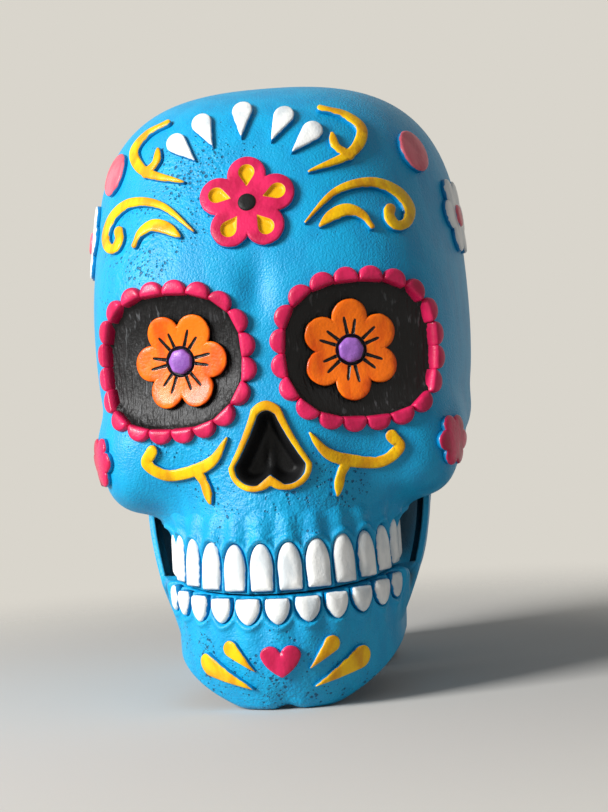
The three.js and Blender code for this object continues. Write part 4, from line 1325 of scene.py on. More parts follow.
@dataclass(frozen=True)
class Texture:
    """How uneven the hand-made surfaces are.

    Scales are counts per metre, edges are the values between which a mark fades in, heights and depths are
    shares of the bump distance, which is in metres, and shares say how strongly a mark shows.
    """

    brush_scale: float = 170
    brush_stretch: Triple = (1, 1, 0.45)
    brush_edges: Pair = (0.35, 0.62)
    brush_height: float = 0.55
    grain_scale: float = 1100
    grain_height: float = 0.3
    grain_gloss: Pair = (-0.08, 0.1)
    inlay_edges: Pair = (0.42, 0.58)
    hair_scale: float = 760
    hair_stretch: Triple = (1, 1, 0.22)
    hair_edges: Pair = (0.58, 0.72)
    hair_share: float = 0.55
    hair_height: float = 1.4
    hair_patch_scale: float = 55
    hair_patch_edges: Pair = (0.38, 0.62)
    pebble_scale: float = 620
    pebble_edges: Pair = (0.3, 1.0)
    pebble_height: float = 1.3
    stipple_scale: float = 1500
    stipple_height: float = 0.55
    hole_patch_scale: float = 90
    hole_patch_edges: Pair = (0.38, 0.56)
    hole_sizes: tuple[Pair, ...] = ((420, 0.34), (760, 0.34))
    hole_core: float = 0.55
    hole_edge: float = 0.001
    hole_share: float = 0.75
    hole_depth: float = 1.6
    edge_scale: float = 420
    edge_wander: float = 0.5
    edge_step: Pair = (0.02, 0.12)
    bump: float = 0.55
    bump_distance: float = 0.0007
    coat_roughness: float = 0.12
    specular: float = 0.25
    pitted_specular: float = 0.38


TEXTURE = Texture()


class Painter:
    """Builds one material's nodes."""

    def __init__(self, finish: Finish) -> None:
        """Starts the material of a finish."""
        self.finish = finish
        self.material = bpy.data.materials.new(finish.name)
        self.material.use_nodes = True
        self.tree = self.material.node_tree
        self.shader = self.tree.nodes["Principled BSDF"]
        self.place = self.tree.nodes.new("ShaderNodeTexCoord").outputs["Object"]

    def node(self, kind: str, given: dict, **settings: object) -> bpy.types.Node:
        """Adds a node.

        Args:
            kind: the node's type.
            given: its inputs, each a socket to link or a value to set.
            settings: its other settings.

        Returns:
            The new node.
        """
        made = self.tree.nodes.new(kind)
        for key, value in settings.items():
            setattr(made, key, value)
        for key, value in given.items():
            socket = made.inputs[key]
            if isinstance(value, Socket):
                self.tree.links.new(value, socket)
            else:
                socket.default_value = value
        return made

    def math(self, operation: str, a: object, b: object = 0.0) -> Socket:
        """Returns the result of one sum."""
        return self.node("ShaderNodeMath", {0: a, 1: b}, operation=operation).outputs[0]

    def raised(self, height: object, more: object, share: float) -> Socket:
        """Returns a height with a share of another added."""
        return self.math("ADD", height, self.math("MULTIPLY", more, share))

    def ramp(self, value: object, low: object, high: object) -> Socket:
        """Returns a smooth 0 to 1 step between two values."""
        given = {"Value": value, "From Min": low, "From Max": high}
        return self.node("ShaderNodeMapRange", given, interpolation_type="SMOOTHSTEP").outputs[0]

    def mix(self, share: object, a: object, b: object) -> Socket:
        """Returns a blend of two colours."""
        made = self.node("ShaderNodeMix", {0: share, 6: a, 7: b}, data_type="RGBA")
        return made.outputs[2]

    def noise(self, scale: float, detail: float = 2.0,
              stretch: Sequence[float] = (1, 1, 1)) -> Socket:
        """Returns soft noise over the object."""
        where = self.node("ShaderNodeMapping", {"Vector": self.place, "Scale": tuple(stretch)}).outputs[0]
        return self.node("ShaderNodeTexNoise", {"Vector": where, "Scale": scale, "Detail": detail}).outputs[0]

    def attribute(self, name: str) -> Socket:
        """Returns a value stored on the mesh."""
        return self.node("ShaderNodeAttribute", {}, attribute_name=name).outputs["Fac"]

    def pinholes(self) -> Socket:
        """Draws the casting's pinholes, which gather in patches.

        Returns:
            A value that is 1 in a pinhole.
        """
        t = TEXTURE
        patches = self.ramp(self.noise(t.hole_patch_scale), *t.hole_patch_edges)
        amount = self.math("MULTIPLY", self.attribute("pits"), patches)
        spots = []
        for scale, size in t.hole_sizes:
            given = {"Vector": self.place, "Scale": scale, "Randomness": 1.0}
            cells = self.node("ShaderNodeTexVoronoi", given)
            reach = self.math("MULTIPLY", amount, size)
            core = self.math("MULTIPLY", reach, t.hole_core)
            outside = self.ramp(cells.outputs["Distance"], core, self.math("ADD", reach, t.hole_edge))
            spots.append(self.math("SUBTRACT", 1.0, outside))
        return self.math("MAXIMUM", *spots)

    def build(self) -> bpy.types.Material:
        """Builds the colour, the gloss and the relief.

        Returns:
            The finished material.
        """
        finish, t = self.finish, TEXTURE
        shader = self.shader.inputs
        shader["Base Color"].default_value = finish.top
        shader["Roughness"].default_value = finish.roughness
        shader["Coat Weight"].default_value = finish.coat
        shader["Coat Roughness"].default_value = t.coat_roughness
        shader["Specular IOR Level"].default_value = t.pitted_specular if finish.pitted else t.specular
        brush = self.noise(t.brush_scale, 4, t.brush_stretch)
        grain = self.noise(t.grain_scale, 3)
        colour = self.mix(self.ramp(brush, *t.brush_edges), finish.deep, finish.top)
        height = self.raised(self.math("MULTIPLY", brush, t.brush_height), grain, t.grain_height)
        if finish.second:
            colour = self.mix(self.ramp(self.attribute("inlay"), *t.inlay_edges), colour, finish.second)
        # Pale streaks on the black: scratch marks in the bump, and their colour a painted glint.
        if finish.scratch_glints:
            hairs = self.noise(t.hair_scale, 2, t.hair_stretch)
            patches = self.ramp(self.noise(t.hair_patch_scale), *t.hair_patch_edges)
            streaks = self.math("MULTIPLY", self.ramp(hairs, *t.hair_edges), patches)
            colour = self.mix(self.math("MULTIPLY", streaks, t.hair_share), colour, SCRATCH_AND_GLINT)
            height = self.raised(height, hairs, t.hair_height)
        if finish.pitted:
            holes = self.pinholes()
            patches = self.ramp(self.attribute("pits"), *t.pebble_edges)
            pebbles = self.math("MULTIPLY", self.noise(t.pebble_scale, 1), patches)
            height = self.raised(height, self.noise(t.stipple_scale, 1), t.stipple_height)
            height = self.raised(height, pebbles, t.pebble_height)
            height = self.raised(height, holes, -t.hole_depth)
            # Painted shade: each pinhole is coloured dark blue.
            colour = self.mix(self.math("MULTIPLY", holes, t.hole_share), colour, PINHOLE_SHADE)
            # Painted shade where the recess attribute is set: round the jaw slots and on the jaw.
            colour = self.mix(self.attribute("painted_shade"), colour, SHADE)
        # Bare sides take the side colour; on the orange flower that colour is painted shade.
        if finish.side:
            wander = self.math("SUBTRACT", self.noise(t.edge_scale), 0.5)
            covered = self.raised(self.attribute("paint"), wander, t.edge_wander)
            colour = self.mix(self.ramp(covered, *t.edge_step), finish.side, colour)
        self.tree.links.new(colour, shader["Base Color"])
        low, high = (finish.roughness + change for change in t.grain_gloss)
        gloss = self.node("ShaderNodeMapRange", {"Value": grain, "To Min": low, "To Max": high})
        self.tree.links.new(gloss.outputs[0], shader["Roughness"])
        given = {"Height": height, "Strength": t.bump, "Distance": t.bump_distance}
        bump = self.node("ShaderNodeBump", given)
        self.tree.links.new(bump.outputs[0], shader["Normal"])
        return self.material


class Palette:
    """Makes each material once."""

    def __init__(self) -> None:
        """Starts with no material."""
        self.made: dict[str, bpy.types.Material] = {}

    def __getitem__(self, name: str) -> bpy.types.Material:
        """Returns the material of a named finish."""
        if name not in self.made:
            self.made[name] = Painter(FINISHES[name]).build()
        return self.made[name]


PAINT = Palette()
# Across, height and reach of each pitted patch on the front; elsewhere the pitting is even and slight.
PIT_SPOTS = ((-42, 150, 26), (-20, 175, 22), (-18, 78, 16), (0, 66, 26), (20, 72, 12), (0, 10, 24),
             (-34, 88, 14), (-25, 16, 18), (20, 10, 12))
PIT_LEAST = 0.25
PIT_BACK = 10


def pitting(points: Array) -> Array:
    """Finds how strongly the casting is pitted.

    Args:
        points: the vertices.

    Returns:
        The strength at each, from 0 to 1.
    """
    amount = np.full(len(points), PIT_LEAST)
    for x, z, reach in PIT_SPOTS:
        near = bell(points[:, 0] - x, reach) * bell(points[:, 2] - z, reach)
        amount = np.maximum(amount, near * (points[:, 1] < PIT_BACK))
    return amount


# Sub-assemblies.
@dataclass(frozen=True)
class Gum:
    """The relief of the gum round one row of teeth.

    A tooth's height is below zero in the lower row. The collar is the roll round a tooth, its gap measured
    out from the tooth; the pocket is what the tooth is set in; the root is the swelling past its end.
    """

    count: int
    pitch: float
    width: float
    height: float
    collar: float
    collar_gap: float
    collar_reach: float
    pocket: float
    root: float
    root_gap: float
    root_reach: float
    root_start: Pair
    pocket_edge: Pair = (0.8, -0.2)

    def span(self) -> float:
        """Returns the distance of the last tooth from the middle."""
        return (self.count - 1) / 2 * self.pitch

    def lift(self, a: Array, rise: Array) -> Array:
        """Finds the gum's lift.

        Args:
            a: places along the arch.
            rise: heights over the row's biting edge.

        Returns:
            The lift at each place.
        """
        tooth_at = np.clip(np.round((a + self.span()) / self.pitch), 0, self.count - 1) * self.pitch
        near = a - (tooth_at - self.span())
        ring = resample(tooth(self.width, self.height), 0.8)
        gap = -ring_depth(np.stack([near, rise], -1), ring)
        collar = self.collar * bell(gap - self.collar_gap, self.collar_reach)
        pocket = self.pocket * smooth_step(gap, *self.pocket_edge)
        past = math.copysign(1, self.height) * rise - abs(self.height)
        root = np.cos(math.pi * near / self.pitch) ** 2 * bell(past - self.root_gap, self.root_reach)
        return collar - pocket + self.root * root * smooth_step(past, *self.root_start)


UPPER_GUM = Gum(MOUTH.upper_count, MOUTH.upper_pitch, MOUTH.upper_width, MOUTH.upper_height, collar=1.1,
                collar_gap=1.5, collar_reach=1.0, pocket=1.3, root=1.1, root_gap=3, root_reach=9,
                root_start=(-2, 2))
LOWER_GUM = Gum(MOUTH.lower_count, MOUTH.lower_pitch, MOUTH.lower_width, -MOUTH.lower_height, collar=0.9,
                collar_gap=1.4, collar_reach=0.9, pocket=1.0, root=0.8, root_gap=2, root_reach=5,
                root_start=(-2, 1))


@dataclass
class Cranium:
    """The blue casting with its gum and base.

    A pair of places is where a soft step starts and ends. The cut, flank and behind fields are where shade is
    painted on round the jaw slots: deep in the cut, on its cheek and on the wall behind it. The felt's
    profile is shares of its width and heights.
    """

    cell: float = 1.4
    low: Triple = (-76, -96, -4)
    high: Triple = (76, 96, 218)
    cut_shade: Pair = (1.5, 6.0)
    slot_margin: float = 2
    slot_start: float = 26
    flank_front: Pair = (-47, -40)
    flank_back: Pair = (-29, -33)
    flank_top: Pair = (72, 64)
    behind_back: Pair = (20, 11)
    behind_top: Pair = (97, 90)
    behind_foot: Pair = (36, 44)
    behind_front: float = -33
    behind_width: float = 49
    behind_share: float = 0.8
    gum_half: float = 61
    gum_top: float = 70
    gum_fade: float = 60
    gum_end: float = 58
    gum_step: float = 0.5
    gum_rows: int = 60
    gum_lap: float = 0.5
    gum_stand: float = 0.5
    gum_sink: float = 1.4
    gum_bed: float = 3
    gum_corner: float = 1.2
    gum_corner_share: float = 0.035
    felt_inset: float = 3
    felt_profile: tuple[Pair, ...] = (
        (0, 0.3), (0.06, 0), (0.94, 0), (1, 0.3), (1, 1.7), (0.94, 2), (0.06, 2), (0, 1.7))

    def build(self) -> None:
        """Builds the casting, the upper gum and the felt."""
        low, high = np.array(self.low, float), np.array(self.high, float)
        points, faces = surface_net(cast_field, low, high, self.cell)
        casting = Shape(points, faces, pits=pitting(points), painted_shade=self.shade(points))
        shell = make_object("skull_casting", casting, PAINT["blue"])
        place(shell, Body.SKULL, Slot.BLUE, "cranium_shell")
        place(self.gum(), Body.SKULL, Slot.BLUE)
        place(self.felt(), Body.SKULL, Slot.FELT, "base_felt")

    def shade(self, points: Array) -> Array:
        """Finds where shade is painted round the jaw slots.

        Args:
            points: the casting's vertices.

        Returns:
            1 where shade is fully painted on, 0 in the open.
        """
        x, y, z = points.T
        # Painted shade: deep in the cuts, on the cheek in front of each slot, and on the wall behind it.
        deep = smooth_step(-body_field(x, y, z), *self.cut_shade) * (z < CAST.slot_top + self.slot_margin)
        flank = smooth_step(y, *self.flank_front) * smooth_step(y, *self.flank_back)
        flank = flank * smooth_step(z, *self.flank_top)
        behind = smooth_step(y, *self.behind_back) * (y > self.behind_front)
        behind = behind * smooth_step(z, *self.behind_top) * smooth_step(z, *self.behind_foot)
        behind = self.behind_share * behind * (np.abs(x) < self.behind_width)
        return np.maximum(deep, np.maximum(flank, behind) * (np.abs(x) > self.slot_start))

    def gum(self) -> Thing:
        """Builds the upper gum: a collar round every tooth, and the roots above.

        Returns:
            The gum's object.
        """
        columns = np.arange(-self.gum_half, self.gum_half + self.gum_step / 2, self.gum_step)
        rows = np.linspace(0, 1, self.gum_rows)
        a, s = (g.ravel() for g in np.meshgrid(columns, rows, indexing="ij"))
        foot = MOUTH.upper_foot + MOUTH.rise(a / MOUTH.radius)
        b = foot - self.gum_lap + s * (self.gum_top - foot)
        edge = smooth_step(b, self.gum_top, self.gum_fade)
        edge = edge * smooth_step(np.abs(a), self.gum_half, self.gum_end)
        lift = (self.gum_stand + UPPER_GUM.lift(a, b - foot) + self.gum_sink) * edge - self.gum_sink
        lift = lift - self.gum_corner * (1 - smooth_step(s, 0.0, self.gum_corner_share))
        faces = grid_faces(np.arange(len(a)).reshape(len(columns), len(rows)))
        back = np.full(len(a), -self.gum_bed)
        points, closed = thicken(ArchBand(), np.stack([a, b], -1), faces, back, lift)
        return make_object("upper_gum", Shape(points, closed, pits=pitting(points)), PAINT["blue"])

    def felt(self) -> Thing:
        """Builds the felt ring under the base.

        Returns:
            The ring's object.
        """
        turn = np.linspace(0, 2 * math.pi, 96, endpoint=False)
        inner = CAST.base_hole
        wide, deep = (CAST.base[i] - self.felt_inset - inner for i in (0, 1))
        loops = []
        for share, z in self.felt_profile:
            x = (inner + share * wide) * np.cos(turn)
            y = CAST.base_y + (inner + share * deep) * np.sin(turn)
            loops.append(np.stack([x, y, np.full(len(turn), z)], -1))
        count = len(turn)
        i = np.arange(count)
        j = (i + 1) % count
        faces = []
        for k in range(len(loops)):
            here, there = k * count, (k + 1) % len(loops) * count
            faces.append(np.stack([here + i, there + i, there + j, here + j], -1))
        return make_object("felt_ring", Shape(np.concatenate(loops), np.concatenate(faces)), PAINT["felt"])


@dataclass
class EyeSocket:
    """One eye: its black dish, scalloped rim, flower and bead.

    A knob is one scallop: an arch of knob_half pitches to each side, with a domed top. Each petal has two
    grooves, turned from its middle by a share of its half angle. Sizes are a height and a rounding, and
    lifts are over the dish.
    """

    side: int
    name: str
    dish_grow: float = 0.6
    dish_edge: Pair = (0.2, 2.2)
    dish_lip: float = 0.5
    dish_bed: float = 0.4
    knob_pitch: float = 7.9
    knob_half: float = 0.52
    knob_reach: float = 4.2
    knob_power: float = 0.92
    knob_shift: float = 0.2
    knob_foot: Pair = (0.5, 0.9)
    knob_side: float = 0.9
    knob_rise: float = 1.3
    knob_round: float = 1.1
    knob_bed: float = 1.2
    knob_grow: float = 0.2
    flower_size: Pair = (1.9, 0.9)
    flower_lift: float = 0.5
    petal_share: float = 1.12
    groove_depth: float = 0.7
    groove_half: float = 0.55
    groove_end: float = 0.35
    groove_lengths: Pair = (4.6, 5.4)
    groove_turn: float = 0.34
    groove_start: float = 1.5
    groove_middle: float = 1.2
    bead_side: float = 0.9
    bead_rise: float = 1.1
    bead_round: float = 2.4
    bead_lift: float = 1.6
    bead_wave: float = 0.03
    bead_waves: int = 7

    def build(self) -> None:
        """Builds the four pieces of the eye."""
        plane = EYE_PLANES[self.side]
        place(self.dish(plane), Body.SKULL, Slot.BLACK, f"eye_lining_{self.name}")
        place(self.rim(plane), Body.SKULL, Slot.PINK, f"eye_rim_{self.name}")
        inner = eye_plane(self.side, EYE.flower_shift)
        place(self.flower(inner), Body.SKULL, Slot.ORANGE, f"eye_flower_{self.name}")
        place(self.bead(inner), Body.SKULL, Slot.PURPLE, f"eye_bead_{self.name}")

    def floor(self, a: Array, b: Array) -> Array:
        """Returns the dish's lift under the shifted flower."""
        return eye_dish(a - self.side * EYE.flower_shift, b)

    def ring(self, grow: float, count: int = 120) -> Array:
        """Draws the socket's outline.

        Args:
            grow: how far it is grown outwards.
            count: how many points it gets.

        Returns:
            The outline's ring.
        """
        t = np.linspace(0, 2 * math.pi, count, endpoint=False)
        way = np.stack([np.cos(t), np.sin(t)], -1)
        return way * (1 / eye_share(way[:, 0], way[:, 1]) + grow)[:, None]

    def dish_lift(self, a: Array, b: Array, depth: Array) -> Array:
        """Returns the lift of the dish's floor, which turns up to the skin at its edge."""
        return eye_dish(a, b) * smooth_step(depth, *self.dish_edge) + self.dish_lip

    def dish(self, plane: Plane) -> Thing:
        """Builds the dished black floor.

        Args:
            plane: where the eye is drawn.

        Returns:
            The dish's object.
        """
        outline = Outline((self.ring(self.dish_grow),))
        shape = relief(plane, outline, lift=self.dish_lift, coarse=1.2,
                       base=lambda a, b, depth: np.full(len(a), -self.dish_bed))
        _, inward = plane.axes()
        sink_foot(shape, inward * EYE.dish_depth)
        return make_object(f"eye_dish_{self.name}", shape, PAINT["black"])

    def scallop(self) -> Shape:
        """Builds one domed scallop.

        Returns:
            The scallop, on a flat ground.
        """
        t = np.linspace(0, math.pi, 22)
        across = self.knob_pitch * self.knob_half * np.cos(t)
        arch = np.stack([across, self.knob_reach * np.sin(t) ** self.knob_power - self.knob_shift], -1)
        foot, inset = self.knob_pitch * self.knob_foot[0], -self.knob_foot[1]
        outline = Outline((np.vstack([arch, [[-foot, inset], [foot, inset]]]),))
        lift = domed(self.knob_side, self.knob_rise, self.knob_round)
        shape = relief(Flat(), outline, lift=lift, coarse=0.9)
        return sink_foot(shape, np.array([0, 0, -self.knob_bed]))

    def rim(self, plane: Plane) -> Thing:
        """Builds the row of scallops round the socket.

        Args:
            plane: where the eye is drawn.

        Returns:
            The row's object.
        """
        step, ahead = 0.5, 4
        skin = Plane(plane.azimuth, plane.across, plane.height)
        ring = resample(self.ring(self.knob_grow), 0.25)
        stops = (np.arange(EYE.scallops) + 0.5) * len(ring) / EYE.scallops
        spots = []
        for stop in stops:
            i = int(stop) % len(ring)
            here = ring[i]
            along = unit_vector(ring[(i + ahead) % len(ring)] - ring[i - ahead])
            out = np.array([along[1], -along[0]])
            ends = np.array([here, here + step * out])
            p, n = skin.at(ends[:, 0], ends[:, 1])
            right = unit_vector(np.cross(unit_vector(p[1] - p[0]), n[0]))
            spots.append(Spot(p[0], right, np.cross(n[0], right)))
        return copies(f"eye_scallops_{self.name}", self.scallop(), spots, PAINT["knob"])

    def flower(self, plane: Plane) -> Thing:
        """Builds the orange flower with its dark grooves and dark middle.

        Args:
            plane: where the flower is drawn.

        Returns:
            The flower's object.
        """
        half = math.pi / EYE.petals
        turn = 0 if self.side < 0 else half
        offset = EYE.flower / (1 + math.sin(half) * self.petal_share)
        grooves = [circle((0, 0), EYE.bead + self.groove_middle)]
        for i in range(EYE.petals):
            for k, length in zip((-1, 1), self.groove_lengths):
                t = turn + 2 * half * i + k * half * self.groove_turn
                way = np.array([math.cos(t), math.sin(t)])
                line = [way * (EYE.bead + self.groove_start + s * length) for s in (1, 0.5, 0)]
                grooves.append(stroke(line, self.groove_half, self.groove_end))
        outline = petals(EYE.petals, EYE.flower - offset, offset, turn)
        shape = relief(plane, outline, *self.flower_size, grooves, self.groove_depth, coarse=1.2, fine=0.5,
                       base=lambda a, b, depth: self.floor(a, b) + self.flower_lift)
        return make_object(f"eye_bloom_{self.name}", shape, PAINT["orange"])

    def bead(self, plane: Plane) -> Thing:
        """Builds the purple bead, a low dome with a slightly uneven edge.

        Args:
            plane: where the flower is drawn.

        Returns:
            The bead's object.
        """
        t = np.linspace(0, 2 * math.pi, 48, endpoint=False)
        reach = EYE.bead * (1 + self.bead_wave * np.sin(self.bead_waves * t + self.side))
        outline = Outline((np.stack([reach * np.cos(t), reach * np.sin(t)], -1),))
        lift = domed(self.bead_side, self.bead_rise, self.bead_round)
        shape = relief(plane, outline, lift=lift, coarse=0.8,
                       base=lambda a, b, depth: self.floor(a, b) + self.bead_lift)
        return make_object(f"eye_button_{self.name}", shape, PAINT["purple"])


@dataclass
class Nose:
    """The black nose opening and its yellow rim.

    The lining laps past the opening and sinks to its hollow, with a ridge, the septum, in it. The rim is how
    far it reaches out and in from the opening; its peak is the wedge between the lobes.
    """

    lap: float = 0.5
    lip: float = 0.4
    hollow: float = 7.2
    hollow_edge: Pair = (0.2, 4.0)
    septum: float = 2.0
    septum_half: float = 1.6
    septum_fade: Pair = (12, -2)
    back: float = 9
    rim: Pair = (2.3, 0.3)
    peak: float = 3.4
    rim_size: Pair = (1.7, 0.9)

    def lift(self, a: Array, b: Array, depth: Array) -> Array:
        """Returns the lift of the hollow, with its ridge."""
        septum = self.septum * bell(a, self.septum_half) * smooth_step(b, *self.septum_fade)
        return self.lip - (self.hollow - septum) * smooth_step(depth, *self.hollow_edge)

    def build(self) -> None:
        """Builds the lining and the rim."""
        plane = Plane(0, 0, NOSE_Z, True)
        hollow = relief(plane, Outline((nose(self.lap),)), lift=self.lift, coarse=1.0)
        sink_foot(hollow, np.array([0, self.back, 0]))
        place(make_object("nose_hollow", hollow, PAINT["deep"]), Body.SKULL, Slot.BLACK, "nose_lining")
        rim = Outline((nose(self.rim[0]),), (nose(self.rim[1], self.peak),))
        shape = relief(NOSE_PLANE, rim, *self.rim_size, coarse=0.9)
        place(make_object("nose_outline", shape, PAINT["yellow"]), Body.SKULL, Slot.YELLOW, "nose_rim")


@dataclass
class Forehead:
    """The pink flower and the fan of white drops above it.

    Sizes are a height and a rounding. The hollow in a petal is its distance, length and width; the boss is
    its radius, height and rounding; a drop is its length and width; the fan is in degrees from upright.
    """

    z: float = 164
    count: int = 5
    petal: float = 6.5
    offset: float = 9.6
    flower_size: Pair = (2.0, 0.8)
    hollow: Triple = (9.3, 7.6, 5.3)
    hollow_depth: float = 1.1
    boss: Triple = (3.1, 2.6, 1.2)
    reach: float = 29.5
    fan: tuple[float, ...] = (-44, -25, 0, 25, 44)
    drop: Pair = (13.5, 7)
    drop_size: Pair = (1.8, 0.8)

    def build(self) -> None:
        """Builds the flower, its dark middle and the drops."""
        plane = Plane(0, leaned(0, self.z), self.z)
        quarter = math.pi / 2
        hollows = []
        away, *size = self.hollow
        for i in range(self.count):
            t = quarter + 2 * math.pi * i / self.count
            hollows.append(drop(away * math.cos(t), away * math.sin(t), *size, t))
        outline = petals(self.count, self.petal, self.offset, quarter)
        shape = relief(plane, outline, *self.flower_size, hollows, self.hollow_depth)
        place(make_object("flower_petals", shape, PAINT["flower"]), Body.SKULL, Slot.PINK, "forehead_flower")
        radius, *size = self.boss
        boss = relief(plane, Outline((circle((0, 0), radius),)), *size, coarse=0.8)
        place(make_object("flower_eye", boss, PAINT["deep"]), Body.SKULL, Slot.BLACK, "forehead_flower_boss")
        for i, degrees in enumerate(self.fan):
            t = quarter - math.radians(degrees)
            z = self.z + self.reach * math.sin(t)
            ring = drop(leaned(self.reach * math.cos(t), z), z, *self.drop, t)
            shape = relief(Plane(), Outline((ring,)), *self.drop_size)
            name = f"crown_drop_{i + 1}"
            place(make_object(f"white_drop_{i + 1}", shape, PAINT["white"]), Body.SKULL, Slot.WHITE, name)


Line = tuple[Pair, ...]


@dataclass
class Scrolls:
    """The yellow scrolls, the temple ornaments and the cheek rosette of one side.

    Scrolls are middle lines on the right side; widths holds the half width of each in the middle and at its
    end. Directions are in degrees. The disc is its direction, height and radius; the temple flower and the
    rosette are a direction and a height; petals are a count, a radius and an offset; the centre is its
    radius, height and rounding.
    """

    side: int
    name: str
    upper: Line = ((20.4, 173.4), (34, 179), (38.7, 187), (34, 193), (25.8, 196))
    upper_prong: Line = ((29, 187), (30, 182), (34, 178.5))
    brow: Line = ((18, 156), (28.5, 166), (39.4, 169), (47.4, 166), (51, 160), (49.8, 155), (46.6, 153.8),
                  (44.6, 156.6), (45, 159.6))
    crescent: Line = ((22.5, 154.5), (27, 158), (32, 159.6), (36.5, 157.5), (39, 153.5))
    cheek: Line = ((13, 89), (18, 82), (25, 79), (34.8, 78), (41.2, 82), (39, 86))
    cheek_prong: Line = ((20, 67.5), (21.5, 74), (24, 79))
    widths: Line = ((1.9, 0.7), (1.4, 1.4), (1.9, 1.5), (2.2, 0.6), (2.1, 1.7), (1.6, 1.6))
    scroll_size: Pair = (1.8, 0.7)
    flat_size: Pair = (1.8, 0.8)
    disc: Triple = (48, 181, 7.2)
    temple: Pair = (68, 160)
    temple_petals: tuple[int, float, float] = (6, 5, 9)
    centre: Triple = (4, 2.7, 1.2)
    rosette: Pair = (41, 83)
    rosette_petals: tuple[int, float, float] = (6, 3.4, 5.2)
    rosette_size: Pair = (2.0, 1.2)

    def build(self) -> None:
        """Builds every ornament of the side."""
        self.scrolls()
        turn, z, radius = self.disc
        disc = relief(Plane(self.side * turn, 0, z), Outline((circle((0, 0), radius),)), *self.flat_size)
        self.add("temple_disc", disc, "coral", Slot.CORAL)
        turn, z = self.temple
        temple = Plane(self.side * turn, 0, z)
        flower = relief(temple, petals(*self.temple_petals), *self.flat_size)
        self.add("temple_flower", flower, "white", Slot.WHITE)
        radius, *size = self.centre
        centre = relief(temple, Outline((circle((0, 0), radius),)), *size, coarse=0.9)
        self.add("temple_flower_centre", centre, "coral", Slot.CORAL)
        turn, z = self.rosette
        rosette = relief(Plane(self.side * turn, 0, z), petals(*self.rosette_petals), *self.rosette_size)
        self.add("cheek_rosette", rosette, "pink", Slot.PINK)

    def scrolls(self) -> None:
        """Builds the yellow strokes."""
        lines = (self.upper, self.upper_prong, self.brow, self.crescent, self.cheek, self.cheek_prong)
        rings = [stroke(line, *width, self.side) for line, width in zip(lines, self.widths)]
        drawn = {
            "upper_scroll": (rings[0], rings[1]),
            "brow_scroll": (rings[2],),
            "brow_crescent": (rings[3],),
            "cheek_scroll": (rings[4], rings[5]),
        }
        for node, outline in drawn.items():
            shape = relief(Plane(), Outline(outline), *self.scroll_size, coarse=1.2)
            self.add(node, shape, "yellow", Slot.YELLOW)

    def add(self, node: str, shape: Shape, paint: str, slot: Slot) -> None:
        """Adds one ornament in place of its solid."""
        thing = make_object(f"{node}_paint_{self.name}", shape, PAINT[paint])
        place(thing, Body.SKULL, slot, f"{node}_{self.name}")


